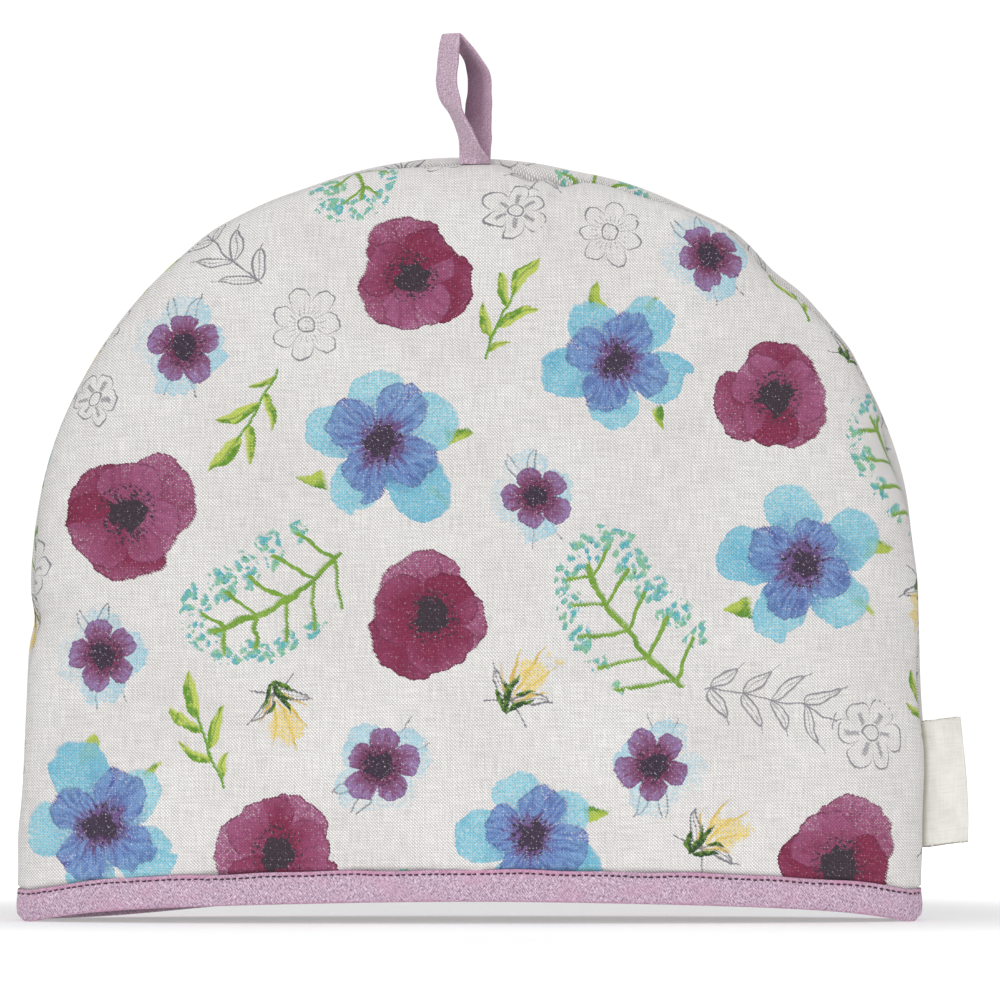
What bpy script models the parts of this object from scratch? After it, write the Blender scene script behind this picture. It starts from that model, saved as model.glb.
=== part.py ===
"""Padded tea cosy, standing open on its bound hem.

Two padded cotton panels are sewn together round the dome, a bias strip binds the hem, a tape loop
is caught in the top seam and a folded label in the side seam. The cosy is hollow and open below.
Metres, +Z up, front towards -Y, origin on the floor at the middle of the whole.
"""

from collections import namedtuple
from math import cos, exp, pi, radians, sin

import bmesh
import bpy
import numpy as np
from mathutils import Vector

# Outline of the dome, seen from the front.
HEM_WIDTH = 0.341
FLANK_WIDTH = 0.334
FLANK_HEIGHT = 0.119
DOME_HEIGHT = 0.286
DOME_POWER = 2.1
SWAY = 0.0019

# Padding and depth.
PAD_THICK = 0.007
RIM_THICK = 0.003
HEM_SQUEEZE = 0.0015
SWELL_HEIGHT = 0.020
SEAM_Y = -0.006
SEAM_GAP = 0.0003
CROWN_POWER = 2.4
CROWN_ROUND = 2.1
CLEARANCE = 0.0003

# Bound hem. It stands flat on its two ends and arches up between them. On the left the back
# panel's hem stays down longer than the front one's.
BINDING_HEIGHT = 0.012
BINDING_THICK = 0.0012
BINDING_EDGE = 0.0005
FOOT_LENGTH = 0.007
FOOT_RUN = 0.024
END_LIFT = 0.0058
MIDDLE_LIFT = 0.0024
BACK_LEFT_RUN = 0.074
STRAIGHT_HEM = 0.014

# Hanging loop and side label.
TAPE_WIDTH = 0.0113
TAPE_THICK = 0.0015
LABEL_LAYER = 0.0009
LABEL_SLIT = 0.0004
LABEL_LOW = 0.0275
LABEL_HIGH = 0.0745
LABEL_SINK = 0.75
TAPE_ROUND = 0.6
TAPE_BLUNT = 0.3
LABEL_BLUNT = 0.3
LABEL_BEND = 1.2

# The label reaches past the right-hand side, so the dome's middle lies left of the origin.
CENTRE_X = -0.0080

# Fineness of the meshes.
COLUMNS = 56
CROWDING = 0.06
ROW_CROWDING = 1.7
FACE_ROWS = 12
ROLL_ROWS = 3
TAPE_STEPS = 4
LABEL_STEPS = 3

HEM_HALF = HEM_WIDTH / 2
FLANK_HALF = FLANK_WIDTH / 2
BAND_RISE = BINDING_THICK + CLEARANCE
ROWS = FACE_ROWS + ROLL_ROWS
GRID_BASE = HEM_HALF / 2

Panel = namedtuple("Panel", "name side depth roll colour")
PANELS = (
    Panel("front_panel", -1, 0.034, 0.0025, (0.76, 0.72, 0.70)),
    Panel("back_panel", 1, 0.047, 0.0080, (0.74, 0.70, 0.68)),
)

# Unevenness of the dome's edge: how far round it lies, from the right hem corner (0) over the top
# to the left one (1), how far the edge stands out there, and the length that it fades over.
Waver = namedtuple("Waver", "round out spread")
WAVERS = (
    Waver(0.066, 0.0013, 0.024),
    Waver(0.176, -0.0011, 0.020),
    Waver(0.276, 0.0009, 0.012),
    Waver(0.332, -0.0016, 0.013),
    Waver(0.364, 0.0012, 0.015),
    Waver(0.448, -0.0007, 0.016),
    Waver(0.515, 0.0007, 0.022),
    Waver(0.585, -0.0009, 0.020),
    Waver(0.640, 0.0007, 0.014),
    Waver(0.780, 0.0005, 0.035),
    Waver(0.866, -0.0018, 0.010),
    Waver(0.975, 0.0008, 0.015),
)

# The seam lies inside the dome's edge, because the back panel is the fuller one. It wanders, and
# right of the loop it dips in two puckers.
SEAM_INSET = 0.0013
Dip = namedtuple("Dip", "round deep spread")
SEAM_DIPS = (
    Dip(0.100, 0.0016, 0.026),
    Dip(0.218, 0.0034, 0.022),
    Dip(0.325, 0.0024, 0.045),
    Dip(0.410, 0.0024, 0.022),
    Dip(0.450, 0.0032, 0.030),
    Dip(0.452, 0.0033, 0.007),
    Dip(0.470, 0.0046, 0.010),
    Dip(0.517, 0.0030, 0.030),
    Dip(0.700, 0.0008, 0.130),
    Dip(0.830, 0.0010, 0.020),
    Dip(0.868, 0.0023, 0.020),
)
FRONT_ROLL_OUT = 0.0009

# Course of the hanging loop's tape, from its front end in the seam, up the left leg, over and down
# the right leg behind it: across from the dome's middle, towards the back, above the seam, and the
# turn of its width from facing the front (0) to edge-on (90).
Tape = namedtuple("Tape", "across back up turn")
LOOP = (
    Tape(0.0022, -0.0026, 0.0000, 0),
    Tape(0.0016, -0.0032, 0.0026, 12),
    Tape(0.0005, -0.0050, 0.0060, 48),
    Tape(-0.0009, -0.0056, 0.0120, 66),
    Tape(-0.0044, -0.0052, 0.0190, 72),
    Tape(-0.0070, -0.0042, 0.0235, 60),
    Tape(-0.0090, -0.0032, 0.0303, 57),
    Tape(-0.0088, -0.0027, 0.0375, 58),
    Tape(-0.0079, -0.0022, 0.0444, 59),
    Tape(-0.0070, -0.0014, 0.0474, 59),
    Tape(-0.0052, -0.0002, 0.0484, 60),
    Tape(-0.0029, 0.0008, 0.0466, 61),
    Tape(0.0002, 0.0016, 0.0426, 63),
    Tape(0.0029, 0.0018, 0.0382, 62),
    Tape(0.0043, 0.0018, 0.0332, 54),
    Tape(0.0042, 0.0016, 0.0275, 46),
    Tape(0.0036, 0.0014, 0.0190, 34),
    Tape(0.0029, 0.0009, 0.0100, 18),
    Tape(0.0022, -0.0006, 0.0000, 0),
)

# Side label, from its lower to its upper cut edge: the reach of its fold past the seam, and how
# far it leans towards the back there.
LabelRow = namedtuple("LabelRow", "up reach back slant")
LABEL = (
    LabelRow(0.0, 0.0169, -0.0012, 0.0024),
    LabelRow(0.2, 0.0170, -0.0006, 0.0023),
    LabelRow(0.4, 0.0163, 0.0000, 0.0022),
    LabelRow(0.6, 0.0152, 0.0003, 0.0021),
    LabelRow(0.8, 0.0140, 0.0002, 0.0020),
    LabelRow(1.0, 0.0137, -0.0003, 0.0020),
)


def bell(value, middle, spread):
    """A smooth bump of height 1 at the middle, fading over the spread."""
    return exp(-(((value - middle) / spread) ** 2))


def ease(value):
    """0 to 1 with level ends, held outside that range."""
    value = min(max(value, 0.0), 1.0)
    return value * value * (3 - 2 * value)


def plain_outline(flank_steps=40, arc_steps=240):
    """The dome's edge without its wavers: straight flanks under a superellipse."""
    right = []
    for i in range(flank_steps):
        up = STRAIGHT_HEM + (FLANK_HEIGHT - STRAIGHT_HEM) * i / flank_steps
        right.append((HEM_HALF + (FLANK_HALF - HEM_HALF) * up / FLANK_HEIGHT, up))
    left = [(-x, z) for x, z in reversed(right)]
    arc = []
    for i in range(arc_steps + 1):
        c, s = cos(pi * i / arc_steps), abs(sin(pi * i / arc_steps))
        x = FLANK_HALF * abs(c) ** (2 / DOME_POWER) * (1 if c > 0 else -1)
        arc.append((x, FLANK_HEIGHT + (DOME_HEIGHT - FLANK_HEIGHT) * s ** (2 / DOME_POWER)))
    points = np.array(right + arc + left)
    points[:, 0] += SWAY * np.sin(pi * points[:, 1] / DOME_HEIGHT)
    return points


OUTLINE = plain_outline()
STEP_LENGTHS = np.hypot(*np.diff(OUTLINE, axis=0).T)
ROUND = np.concatenate(([0.0], np.cumsum(STEP_LENGTHS))) / STEP_LENGTHS.sum()
OUTWARD = np.gradient(OUTLINE, axis=0)[:, ::-1] * (1, -1)
OUTWARD /= np.hypot(*OUTWARD.T)[:, None]


def edge(round_, inset):
    """A point on the dome's uneven edge, set in by the inset, as x and z."""
    point = [np.interp(round_, ROUND, OUTLINE[:, i]) for i in (0, 1)]
    out = [np.interp(round_, ROUND, OUTWARD[:, i]) for i in (0, 1)]
    waver = sum(w.out * bell(round_, w.round, w.spread) for w in WAVERS)
    return [point[i] + out[i] * (waver - inset) for i in (0, 1)]


def seam_inset(round_):
    """How far the seam lies inside the dome's edge."""
    return SEAM_INSET + sum(d.deep * bell(round_, d.round, d.spread) for d in SEAM_DIPS)


def skin_inset(panel, round_, inner):
    """How far the widest line of a panel's outer or inner skin lies inside the dome's edge."""
    if inner:
        return seam_inset(round_) + RIM_THICK
    return max(seam_inset(round_) - FRONT_ROLL_OUT, 0.0) if panel.side < 0 else 0.0


def skin_outlines():
    """Each skin's reach from the middle of the hem, for every direction from right to left."""
    reaches = {}
    for panel in PANELS:
        for inner in (False, True):
            points = np.array([edge(r, skin_inset(panel, r, inner)) for r in ROUND])
            points[:, 1] -= STRAIGHT_HEM
            angles = np.arctan2(np.maximum(points[:, 1], 0.0), points[:, 0])
            reaches[panel.name, inner] = (angles, np.hypot(*points.T))
    return reaches


REACHES = skin_outlines()


def fullness(panel, x, z, inner):
    """How full the crown is at a point: 1 at the middle of the hem, 0 at the dome's edge."""
    angles, reaches = REACHES[panel.name, inner]
    up = z - STRAIGHT_HEM
    share = np.hypot(x, up) / np.interp(np.arctan2(up, x), angles, reaches)
    return (1 - min(share, 1.0) ** CROWN_POWER) ** (1 / CROWN_ROUND)


def hem_lift(x, panel):
    """Height of the hem above the floor: flat feet at its two ends, and an arch between."""
    inside = max(HEM_HALF - FOOT_LENGTH - abs(x), 0.0)
    rise = 1 - exp(-inside / FOOT_RUN)
    if panel.side > 0 and x < 0:
        rise *= 1 - exp(-((inside / BACK_LEFT_RUN) ** 2))
    return END_LIFT * rise + MIDDLE_LIFT * ease(inside / (HEM_HALF - FOOT_LENGTH))


def place(x, depth, z, panel):
    """Put a point of a panel into the standing cosy, with the arch of its hem."""
    lift = hem_lift(x, panel) * (DOME_HEIGHT - z) / (DOME_HEIGHT - STRAIGHT_HEM)
    return Vector((CENTRE_X + x, SEAM_Y + panel.side * depth, z + lift))


def skin(panel, u, v, inner):
    """A panel's outer or inner skin. u runs round the dome, v from the hem up to the seam."""
    face_part = FACE_ROWS / ROWS
    round_ = u + CROWDING * sin(2 * pi * u)
    edge_x, edge_z = edge(round_, skin_inset(panel, round_, inner))
    if v <= face_part:
        share = 1 - (1 - v / face_part) ** ROW_CROWDING
        x = GRID_BASE * (1 - 2 * u) * (1 - share) + edge_x * share
        z = STRAIGHT_HEM * (1 - share) + edge_z * share
        squeeze = HEM_SQUEEZE * bell(z, STRAIGHT_HEM, SWELL_HEIGHT)
        crown = panel.depth - squeeze if not inner else panel.depth - PAD_THICK + squeeze
        depth = panel.roll + (crown - panel.roll) * fullness(panel, x, z, inner)
        return place(x, depth, z, panel)
    turn = (v - face_part) / (1 - face_part) * pi / 2
    roll_in = 0.0 if inner else seam_inset(round_) - skin_inset(panel, round_, inner)
    x, z = edge(round_, skin_inset(panel, round_, inner) + roll_in * (1 - cos(turn)))
    depth = SEAM_GAP / 2 + (panel.roll - SEAM_GAP / 2) * (1 - sin(turn))
    return place(x, depth, z, panel)


def add_object(name, bm, colour, roughness, collection):
    """Turn a finished bmesh into a named object with a material of its own."""
    bmesh.ops.recalc_face_normals(bm, faces=bm.faces)
    mesh = bpy.data.meshes.new(name)
    bm.to_mesh(mesh)
    bm.free()
    mesh.shade_smooth()
    mesh.set_sharp_from_angle(angle=radians(40))
    material = bpy.data.materials.new(name)
    material.use_nodes = True
    shader = material.node_tree.nodes["Principled BSDF"]
    shader.inputs["Base Color"].default_value = (*colour, 1)
    shader.inputs["Roughness"].default_value = roughness
    shader.inputs["Metallic"].default_value = 0.0
    mesh.materials.append(material)
    collection.objects.link(bpy.data.objects.new(name, mesh))


def add_skin(bm, panel, inner):
    """One skin of a panel: a grid laid over the dome, its hem edge extruded down to the hem."""
    made = bmesh.ops.create_grid(bm, x_segments=COLUMNS, y_segments=ROWS, size=0.5)
    verts = made["verts"]
    flat = {vert: (vert.co.x + 0.5, vert.co.y + 0.5) for vert in verts}
    seam_row = 1 - 0.5 / ROWS
    hem = [
        edge_
        for edge_ in {e for vert in verts for e in vert.link_edges}
        if edge_.is_boundary and not all(flat[vert][1] > seam_row for vert in edge_.verts)
    ]
    for vert, (u, v) in flat.items():
        vert.co = skin(panel, u, v, inner)
    dropped = bmesh.ops.extrude_edge_only(bm, edges=hem)["geom"]
    for vert in (item for item in dropped if isinstance(item, bmesh.types.BMVert)):
        vert.co.z = hem_lift(vert.co.x - CENTRE_X, panel) + BAND_RISE


def build_panel(panel, collection):
    """A padded panel: an outer and an inner skin, joined at the seam's rim and at the hem."""
    bm = bmesh.new()
    add_skin(bm, panel, inner=False)
    add_skin(bm, panel, inner=True)
    rims = [edge_ for edge_ in bm.edges if edge_.is_boundary]
    bmesh.ops.bridge_loops(bm, edges=rims)
    add_object(panel.name, bm, panel.colour, 0.85, collection)


def loft(bm, rings, closed):
    """Join rings of equal count into one skin, closed on itself or capped at its two ends."""
    loops = [[bm.verts.new(point) for point in ring] for ring in rings]
    pairs = list(zip(loops, loops[1:])) + ([(loops[-1], loops[0])] if closed else [])
    for low, high in pairs:
        for i in range(len(low)):
            j = (i + 1) % len(low)
            bm.faces.new((low[i], low[j], high[j], high[i]))
    if not closed:
        bm.faces.new(list(reversed(loops[0])))
        bm.faces.new(loops[-1])


def hem_course():
    """Where the hem runs: its panel, outer and inner face at each station round the opening."""
    face_part = FACE_ROWS / ROWS
    climb = [face_part * i / FACE_ROWS for i in range(FACE_ROWS + 1)]
    along = [i / COLUMNS for i in range(1, COLUMNS)]
    course = [(0, v) for v in reversed(climb)] + [(u, 0) for u in along] + [(1, v) for v in climb]
    stations = []
    for panel, path in zip(PANELS, (course, list(reversed(course)))):
        for u, v in path:
            stations.append((panel, skin(panel, u, v, False), skin(panel, u, v, True)))
    return stations


def loop_normals(points):
    """Level outward normals of a closed course that runs anticlockwise or clockwise."""
    normals = []
    middle = sum(points, Vector()) / len(points)
    for i, point in enumerate(points):
        along = points[(i + 1) % len(points)] - points[i - 1]
        normal = Vector((along.y, -along.x, 0)).normalized()
        normals.append(normal if normal.dot(point - middle) > 0 else -normal)
    return normals


def build_binding(collection):
    """The bias strip: a U-shaped section round the panels' lower edges, closed on itself."""
    panels, outer, inner = zip(*hem_course())
    rings = []
    course = zip(panels, outer, inner, loop_normals(outer), loop_normals(inner))
    for panel, wall_out, wall_in, n_out, n_in in course:
        low = hem_lift(wall_out.x - CENTRE_X, panel)
        top = low + BINDING_HEIGHT
        reach = CLEARANCE + BINDING_THICK
        edge_in = BINDING_EDGE
        section = (
            (wall_in - n_in * reach, low + edge_in),
            (wall_in - n_in * (reach - edge_in), low),
            (wall_out + n_out * (reach - edge_in), low),
            (wall_out + n_out * reach, low + edge_in),
            (wall_out + n_out * reach, top - edge_in),
            (wall_out + n_out * CLEARANCE, top),
            (wall_out + n_out * CLEARANCE, low + BINDING_THICK),
            (wall_in - n_in * CLEARANCE, low + BINDING_THICK),
            (wall_in - n_in * CLEARANCE, top),
            (wall_in - n_in * reach, top - edge_in),
        )
        rings.append([Vector((spot.x, spot.y, z)) for spot, z in section])
    bm = bmesh.new()
    loft(bm, rings, closed=True)
    add_object("hem_binding", bm, (0.60, 0.38, 0.52), 0.8, collection)


def smooth_rows(rows, steps):
    """Rows in between those of a table, on a smooth curve through them."""
    table = np.array(rows, float)
    padded = np.vstack((2 * table[0] - table[1], table, 2 * table[-1] - table[-2]))
    result = []
    for i in range(len(table) - 1):
        a, b, c, d = padded[i : i + 4]
        for t in (step / steps for step in range(steps)):
            bend, twist = 2 * a - 5 * b + 4 * c - d, 3 * b - a - 3 * c + d
            result.append((2 * b + (c - a) * t + bend * t**2 + twist * t**3) / 2)
    return result + [table[-1]]


def build_loop(collection):
    """The hanging loop: a folded tape with soft edges, twisting as it rises and falls."""
    seam_top = edge(0.5, skin_inset(PANELS[0], 0.5, False))[1] + CLEARANCE
    rows = smooth_rows(LOOP, TAPE_STEPS)
    course = [Vector((CENTRE_X + r[0], SEAM_Y + r[1], seam_top + r[2])) for r in rows]
    half, thick = TAPE_WIDTH / 2, TAPE_THICK / 2
    flat_half, blunt = half - thick * TAPE_ROUND, thick * TAPE_BLUNT
    section = (
        (-half, -blunt), (-flat_half, -thick), (flat_half, -thick), (half, -blunt),
        (half, blunt), (flat_half, thick), (-flat_half, thick), (-half, blunt),
    )
    rings = []
    for i, (point, row) in enumerate(zip(course, rows)):
        along = course[min(i + 1, len(course) - 1)] - course[max(i - 1, 0)]
        if i in (0, len(course) - 1):
            along = Vector((0, 0, 1 if i == 0 else -1))
        along.normalize()
        turn = radians(row[3])
        width = Vector((cos(turn), -sin(turn), 0))
        face = along.cross(width).normalized()
        rings.append([point + width * w + face * t for w, t in section])
    bm = bmesh.new()
    loft(bm, rings, closed=False)
    add_object("hanging_loop", bm, (0.55, 0.36, 0.48), 0.8, collection)


def build_label(collection):
    """The side label: a strip folded at its outer edge, its two layers a little apart."""
    heights = [edge(r, 0)[1] for r in ROUND]
    rings = []
    for up, reach, back, slant in smooth_rows(LABEL, LABEL_STEPS):
        z = LABEL_LOW + (LABEL_HIGH - LABEL_LOW) * up
        round_ = ROUND[int(np.argmin(np.abs(np.array(heights[: len(heights) // 2]) - z)))]
        root = edge(round_, LABEL_SINK * skin_inset(PANELS[0], round_, False))[0] + CLEARANCE
        slit = LABEL_SLIT / 2
        face = slit + LABEL_LAYER
        fold = root + reach
        turn, blunt = fold - LABEL_LAYER, LABEL_LAYER * LABEL_BLUNT
        slit_end = fold - LABEL_LAYER * LABEL_BEND
        section = (
            (root, slit), (root, face), (turn, face), (fold - blunt, slit + 2 * blunt), (fold, 0),
            (fold - blunt, -slit - 2 * blunt), (turn, -face), (root, -face), (root, -slit),
            (slit_end, -slit), (slit_end, slit),
        )
        ring = []
        for x, y in section:
            share = (x - root) / reach
            ring.append(Vector((CENTRE_X + x, SEAM_Y + y + back * share, z + slant * share)))
        rings.append(ring)
    bm = bmesh.new()
    loft(bm, rings, closed=False)
    add_object("side_label", bm, (0.84, 0.81, 0.75), 0.7, collection)


def main():
    for obj in list(bpy.data.objects):
        bpy.data.objects.remove(obj, do_unlink=True)
    collection = bpy.data.collections.new("tea_cosy")
    bpy.context.scene.collection.children.link(collection)
    for panel in PANELS:
        build_panel(panel, collection)
    build_binding(collection)
    build_loop(collection)
    build_label(collection)


main()
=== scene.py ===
"""Padded tea cosy of printed cotton with a bias-bound hem, a tape loop and a side label."""

from math import cos, pi, radians, sin

import bpy
import numpy as np
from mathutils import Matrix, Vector
from mathutils.kdtree import KDTree


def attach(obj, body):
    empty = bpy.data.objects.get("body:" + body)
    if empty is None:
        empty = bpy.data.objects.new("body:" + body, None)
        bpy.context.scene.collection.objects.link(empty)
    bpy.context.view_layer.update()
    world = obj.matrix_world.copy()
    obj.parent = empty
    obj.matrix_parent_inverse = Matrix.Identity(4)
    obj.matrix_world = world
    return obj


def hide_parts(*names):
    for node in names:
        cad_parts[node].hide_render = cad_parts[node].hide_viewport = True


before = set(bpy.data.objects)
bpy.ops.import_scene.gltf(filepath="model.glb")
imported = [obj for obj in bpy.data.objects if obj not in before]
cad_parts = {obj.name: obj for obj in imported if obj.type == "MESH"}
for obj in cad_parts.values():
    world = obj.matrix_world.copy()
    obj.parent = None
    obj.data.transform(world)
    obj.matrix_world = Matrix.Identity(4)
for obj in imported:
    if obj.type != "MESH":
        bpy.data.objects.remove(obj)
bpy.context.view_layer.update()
bpy.ops.object.select_all(action="DESELECT")

# ---- Front panel ---------------------------------------------------------------------------
# A cover of printed cotton over wadding, with a plain cotton lining behind it. Cover, wadding
# and lining are cut to one dome shape, sewn together round the curve and turned right side out.

# Lengths are in metres, unless a comment says otherwise.
CENTRE_X = -0.0080
SEAM_Y = -0.006
SEAM_GAP = 0.0003
HEM_HALF = 0.1705
FLANK_HALF = 0.167
FLANK_HEIGHT = 0.119
DOME_HEIGHT = 0.286
DOME_POWER = 2.1
SWAY = 0.0019
STRAIGHT_HEM = 0.014
PAD_THICK = 0.007
RIM_THICK = 0.003
HEM_SQUEEZE = 0.0015
SWELL_HEIGHT = 0.020
CROWN_POWER = 2.4
CROWN_ROUND = 2.1
CROWDING = 0.06
CLEARANCE = 0.0003
BINDING_THICK = 0.0012
FOOT_LENGTH = 0.007
FOOT_RUN = 0.024
END_LIFT = 0.0058
MIDDLE_LIFT = 0.0024
BACK_LEFT_RUN = 0.074
SEAM_INSET = 0.0013
FRONT_ROLL_OUT = 0.0009

COLUMNS = 330
FACE_ROWS = 92
ROLL_ROWS = 12
ROWS = FACE_ROWS + ROLL_ROWS
FACE_PART = FACE_ROWS / ROWS
ROW_CROWDING = 1.35
FLANK_STEPS = 40
ARC_STEPS = 240

# Which way the panel faces (-1 is the front), how far it bulges, how far its edge rolls over.
FRONT = (-1, 0.034, 0.0025)
BACK = (1, 0.047, 0.0080)

# How far round the dome, how far out, and the length that it fades over.
WAVERS = (
    (0.000, -0.0006, 0.012), (0.066, 0.0013, 0.024), (0.176, -0.0011, 0.020), (0.276, 0.0009, 0.012),
    (0.332, -0.0016, 0.013), (0.364, 0.0012, 0.015), (0.448, -0.0007, 0.016),
    (0.515, 0.0007, 0.022), (0.585, -0.0009, 0.020), (0.640, 0.0007, 0.014),
    (0.780, 0.0005, 0.035), (0.866, -0.0018, 0.010), (0.975, 0.0008, 0.015),
)
SEAM_DIPS = (
    (0.100, 0.0016, 0.026), (0.218, 0.0034, 0.022), (0.325, 0.0024, 0.045),
    (0.410, 0.0024, 0.022), (0.450, 0.0032, 0.030), (0.452, 0.0033, 0.007),
    (0.470, 0.0046, 0.010), (0.517, 0.0030, 0.030), (0.700, 0.0008, 0.130),
    (0.830, 0.0010, 0.020), (0.868, 0.0023, 0.020),
)


def bell(value, middle, spread):
    """A smooth hump, 1 at its middle."""
    return np.exp(-(((value - middle) / spread) ** 2))


def ease(value):
    """From 0 to 1 with soft ends."""
    value = np.clip(value, 0.0, 1.0)
    return value * value * (3 - 2 * value)


def dome_cut():
    """The dome's edge: straight flanks under a superellipse, right hem corner to left."""
    up = STRAIGHT_HEM + (FLANK_HEIGHT - STRAIGHT_HEM) * np.arange(FLANK_STEPS) / FLANK_STEPS
    flank = np.stack([HEM_HALF + (FLANK_HALF - HEM_HALF) * up / FLANK_HEIGHT, up], 1)
    turn = pi * np.arange(ARC_STEPS + 1) / ARC_STEPS
    c, s = np.cos(turn), np.abs(np.sin(turn))
    arc = np.stack([
        FLANK_HALF * np.abs(c) ** (2 / DOME_POWER) * np.sign(c),
        FLANK_HEIGHT + (DOME_HEIGHT - FLANK_HEIGHT) * s ** (2 / DOME_POWER),
    ], 1)
    points = np.concatenate([flank, arc, flank[::-1] * (-1, 1)])
    points[:, 0] += SWAY * np.sin(pi * points[:, 1] / DOME_HEIGHT)
    return points


OUTLINE = dome_cut()
STEPS = np.hypot(*np.diff(OUTLINE, axis=0).T)
EDGE_LENGTH = STEPS.sum()
ROUND = np.concatenate(([0.0], np.cumsum(STEPS))) / EDGE_LENGTH
OUTWARD = np.gradient(OUTLINE, axis=0)[:, ::-1] * (1, -1)
OUTWARD /= np.hypot(*OUTWARD.T)[:, None]


def edge(round_, inset):
    """Points on the dome's uneven edge, set in by the inset, as x and z."""
    waver = sum(out * bell(round_, at, spread) for at, out, spread in WAVERS)
    return [
        np.interp(round_, ROUND, OUTLINE[:, i]) + np.interp(round_, ROUND, OUTWARD[:, i]) * (waver - inset)
        for i in (0, 1)
    ]


def seam_inset(round_):
    """How far inside the dome's edge the seam lies."""
    return SEAM_INSET + sum(deep * bell(round_, at, spread) for at, deep, spread in SEAM_DIPS)


def skin_inset(side, round_, inner):
    """How far inside the dome's edge a skin of the panel ends."""
    if inner:
        return seam_inset(round_) + RIM_THICK
    return np.maximum(seam_inset(round_) - FRONT_ROLL_OUT, 0.0) if side < 0 else 0.0 * round_


def dome_share(side, x, z, inner):
    """How far out a point lies on its way to the dome's edge, and how long that way is."""
    ex, ez = edge(ROUND, skin_inset(side, ROUND, inner))
    angles = np.arctan2(np.maximum(ez - STRAIGHT_HEM, 0.0), ex)
    up = z - STRAIGHT_HEM
    reach = np.interp(np.arctan2(up, x), angles, np.hypot(ex, ez - STRAIGHT_HEM))
    return np.minimum(np.hypot(x, up) / reach, 1.0), reach


def hem_lift(x, side):
    """Height of the hem above the table: flat feet at its ends, an arch between them."""
    inside = np.maximum(HEM_HALF - FOOT_LENGTH - np.abs(x), 0.0)
    rise = 1 - np.exp(-inside / FOOT_RUN)
    sag = np.exp(-((inside / BACK_LEFT_RUN) ** 2)) * (x < 0) * (side > 0)
    return END_LIFT * rise * (1 - sag) + MIDDLE_LIFT * ease(inside / (HEM_HALF - FOOT_LENGTH))


def stand(x, depth, z, side):
    """Put points of a panel into the standing cosy, with the arch of its hem."""
    lift = hem_lift(x, side) * (DOME_HEIGHT - z) / (DOME_HEIGHT - STRAIGHT_HEM)
    return np.stack([CENTRE_X + x, SEAM_Y + side * depth, z + lift], -1)


# Soft creases pressed into the padding: from x, z to x, z, how deep, how wide.
FRONT_CREASES = (
    (0.040, 0.044, 0.029, 0.022, 0.0011, 0.0040), (0.101, 0.029, 0.095, 0.018, 0.0012, 0.0035),
    (-0.164, 0.104, -0.149, 0.098, 0.0014, 0.0030), (-0.163, 0.112, -0.146, 0.113, -0.0008, 0.0035),
    (0.166, 0.104, 0.150, 0.099, 0.0013, 0.0032), (0.164, 0.094, 0.151, 0.087, 0.0009, 0.0030),
    (-0.090, 0.020, -0.094, 0.036, 0.0006, 0.0050), (-0.020, 0.018, -0.012, 0.036, 0.0005, 0.0050),
    (0.140, 0.018, 0.150, 0.034, 0.0007, 0.0045), (-0.140, 0.018, -0.133, 0.032, 0.0008, 0.0045),
    (0.016, 0.276, 0.012, 0.252, 0.0012, 0.0040), (0.035, 0.276, 0.029, 0.248, 0.0010, 0.0045),
    (0.055, 0.270, 0.046, 0.246, 0.0009, 0.0040), (-0.012, 0.279, -0.010, 0.256, 0.0007, 0.0045),
    (-0.060, 0.262, -0.050, 0.243, 0.0005, 0.0050), (0.105, 0.238, 0.090, 0.222, 0.0006, 0.0050),
)
BACK_CREASES = (
    (-0.060, 0.040, -0.052, 0.020, 0.0010, 0.0045), (0.080, 0.034, 0.086, 0.018, 0.0010, 0.0040),
    (-0.163, 0.100, -0.145, 0.094, 0.0012, 0.0040), (0.164, 0.108, 0.147, 0.102, 0.0012, 0.0040),
    (0.020, 0.270, 0.016, 0.245, 0.0010, 0.0045), (-0.040, 0.268, -0.034, 0.245, 0.0008, 0.0045),
    (0.110, 0.020, 0.118, 0.040, 0.0007, 0.0045), (-0.120, 0.018, -0.112, 0.036, 0.0007, 0.0050),
)


# Lumps of the wadding, each of two crossing waves: height, then each wave's length across, its
# length up and its phase.
LUMPS = (
    (0.0007, (0.083, 0.131, 1.1), (-0.21, 0.091, 0.4)),
    (0.00035, (0.037, -0.061, 2.3), (0.087, 0.041, 0.0)),
)
PUCKER = 0.00016
PUCKER_REACH = 0.0085


def softness(x, z, share, reach, round_, creases, shift):
    """The unevenness of the padding under the cover, in metres outwards."""
    a, b = x + shift, z + shift * 0.6
    lumps = 0.0
    for high, *waves in LUMPS:
        for across, up, phase in waves:
            high = high * np.sin(2 * pi * (a / across + b / up) + phase)
        lumps = lumps + high
    in_from_edge = (1 - share) * reach
    way = round_ * EDGE_LENGTH + shift
    gathers = np.sin(2 * pi * way / 0.0117) + 0.8 * np.sin(2 * pi * way / 0.0079 + 1.7 * np.sin(way / 0.021))
    pull = 0.6 + 0.4 * np.sin(2 * pi * way / 0.173) + 1.1 * bell(round_, 0.45, 0.045)
    lumps += PUCKER * gathers * pull * bell(in_from_edge, 0.006, PUCKER_REACH)
    tucks = np.sin(2 * pi * a / 0.0131) + 0.9 * np.sin(2 * pi * a / 0.0191 + 1.3 * np.sin(a / 0.033))
    lumps += PUCKER * tucks * bell(z, STRAIGHT_HEM + 0.002, PUCKER_REACH)
    for x0, z0, x1, z1, deep, wide in creases:
        dx, dz = x1 - x0, z1 - z0
        long = np.hypot(dx, dz)
        along = np.clip(((x - x0) * dx + (z - z0) * dz) / long**2, 0, 1)
        off = np.hypot(x - x0 - along * dx, z - z0 - along * dz)
        lumps -= deep * (1 - 0.7 * along) * np.exp(-((off / wide) ** 2))
    return lumps


SOFT_EDGE = 0.004


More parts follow.
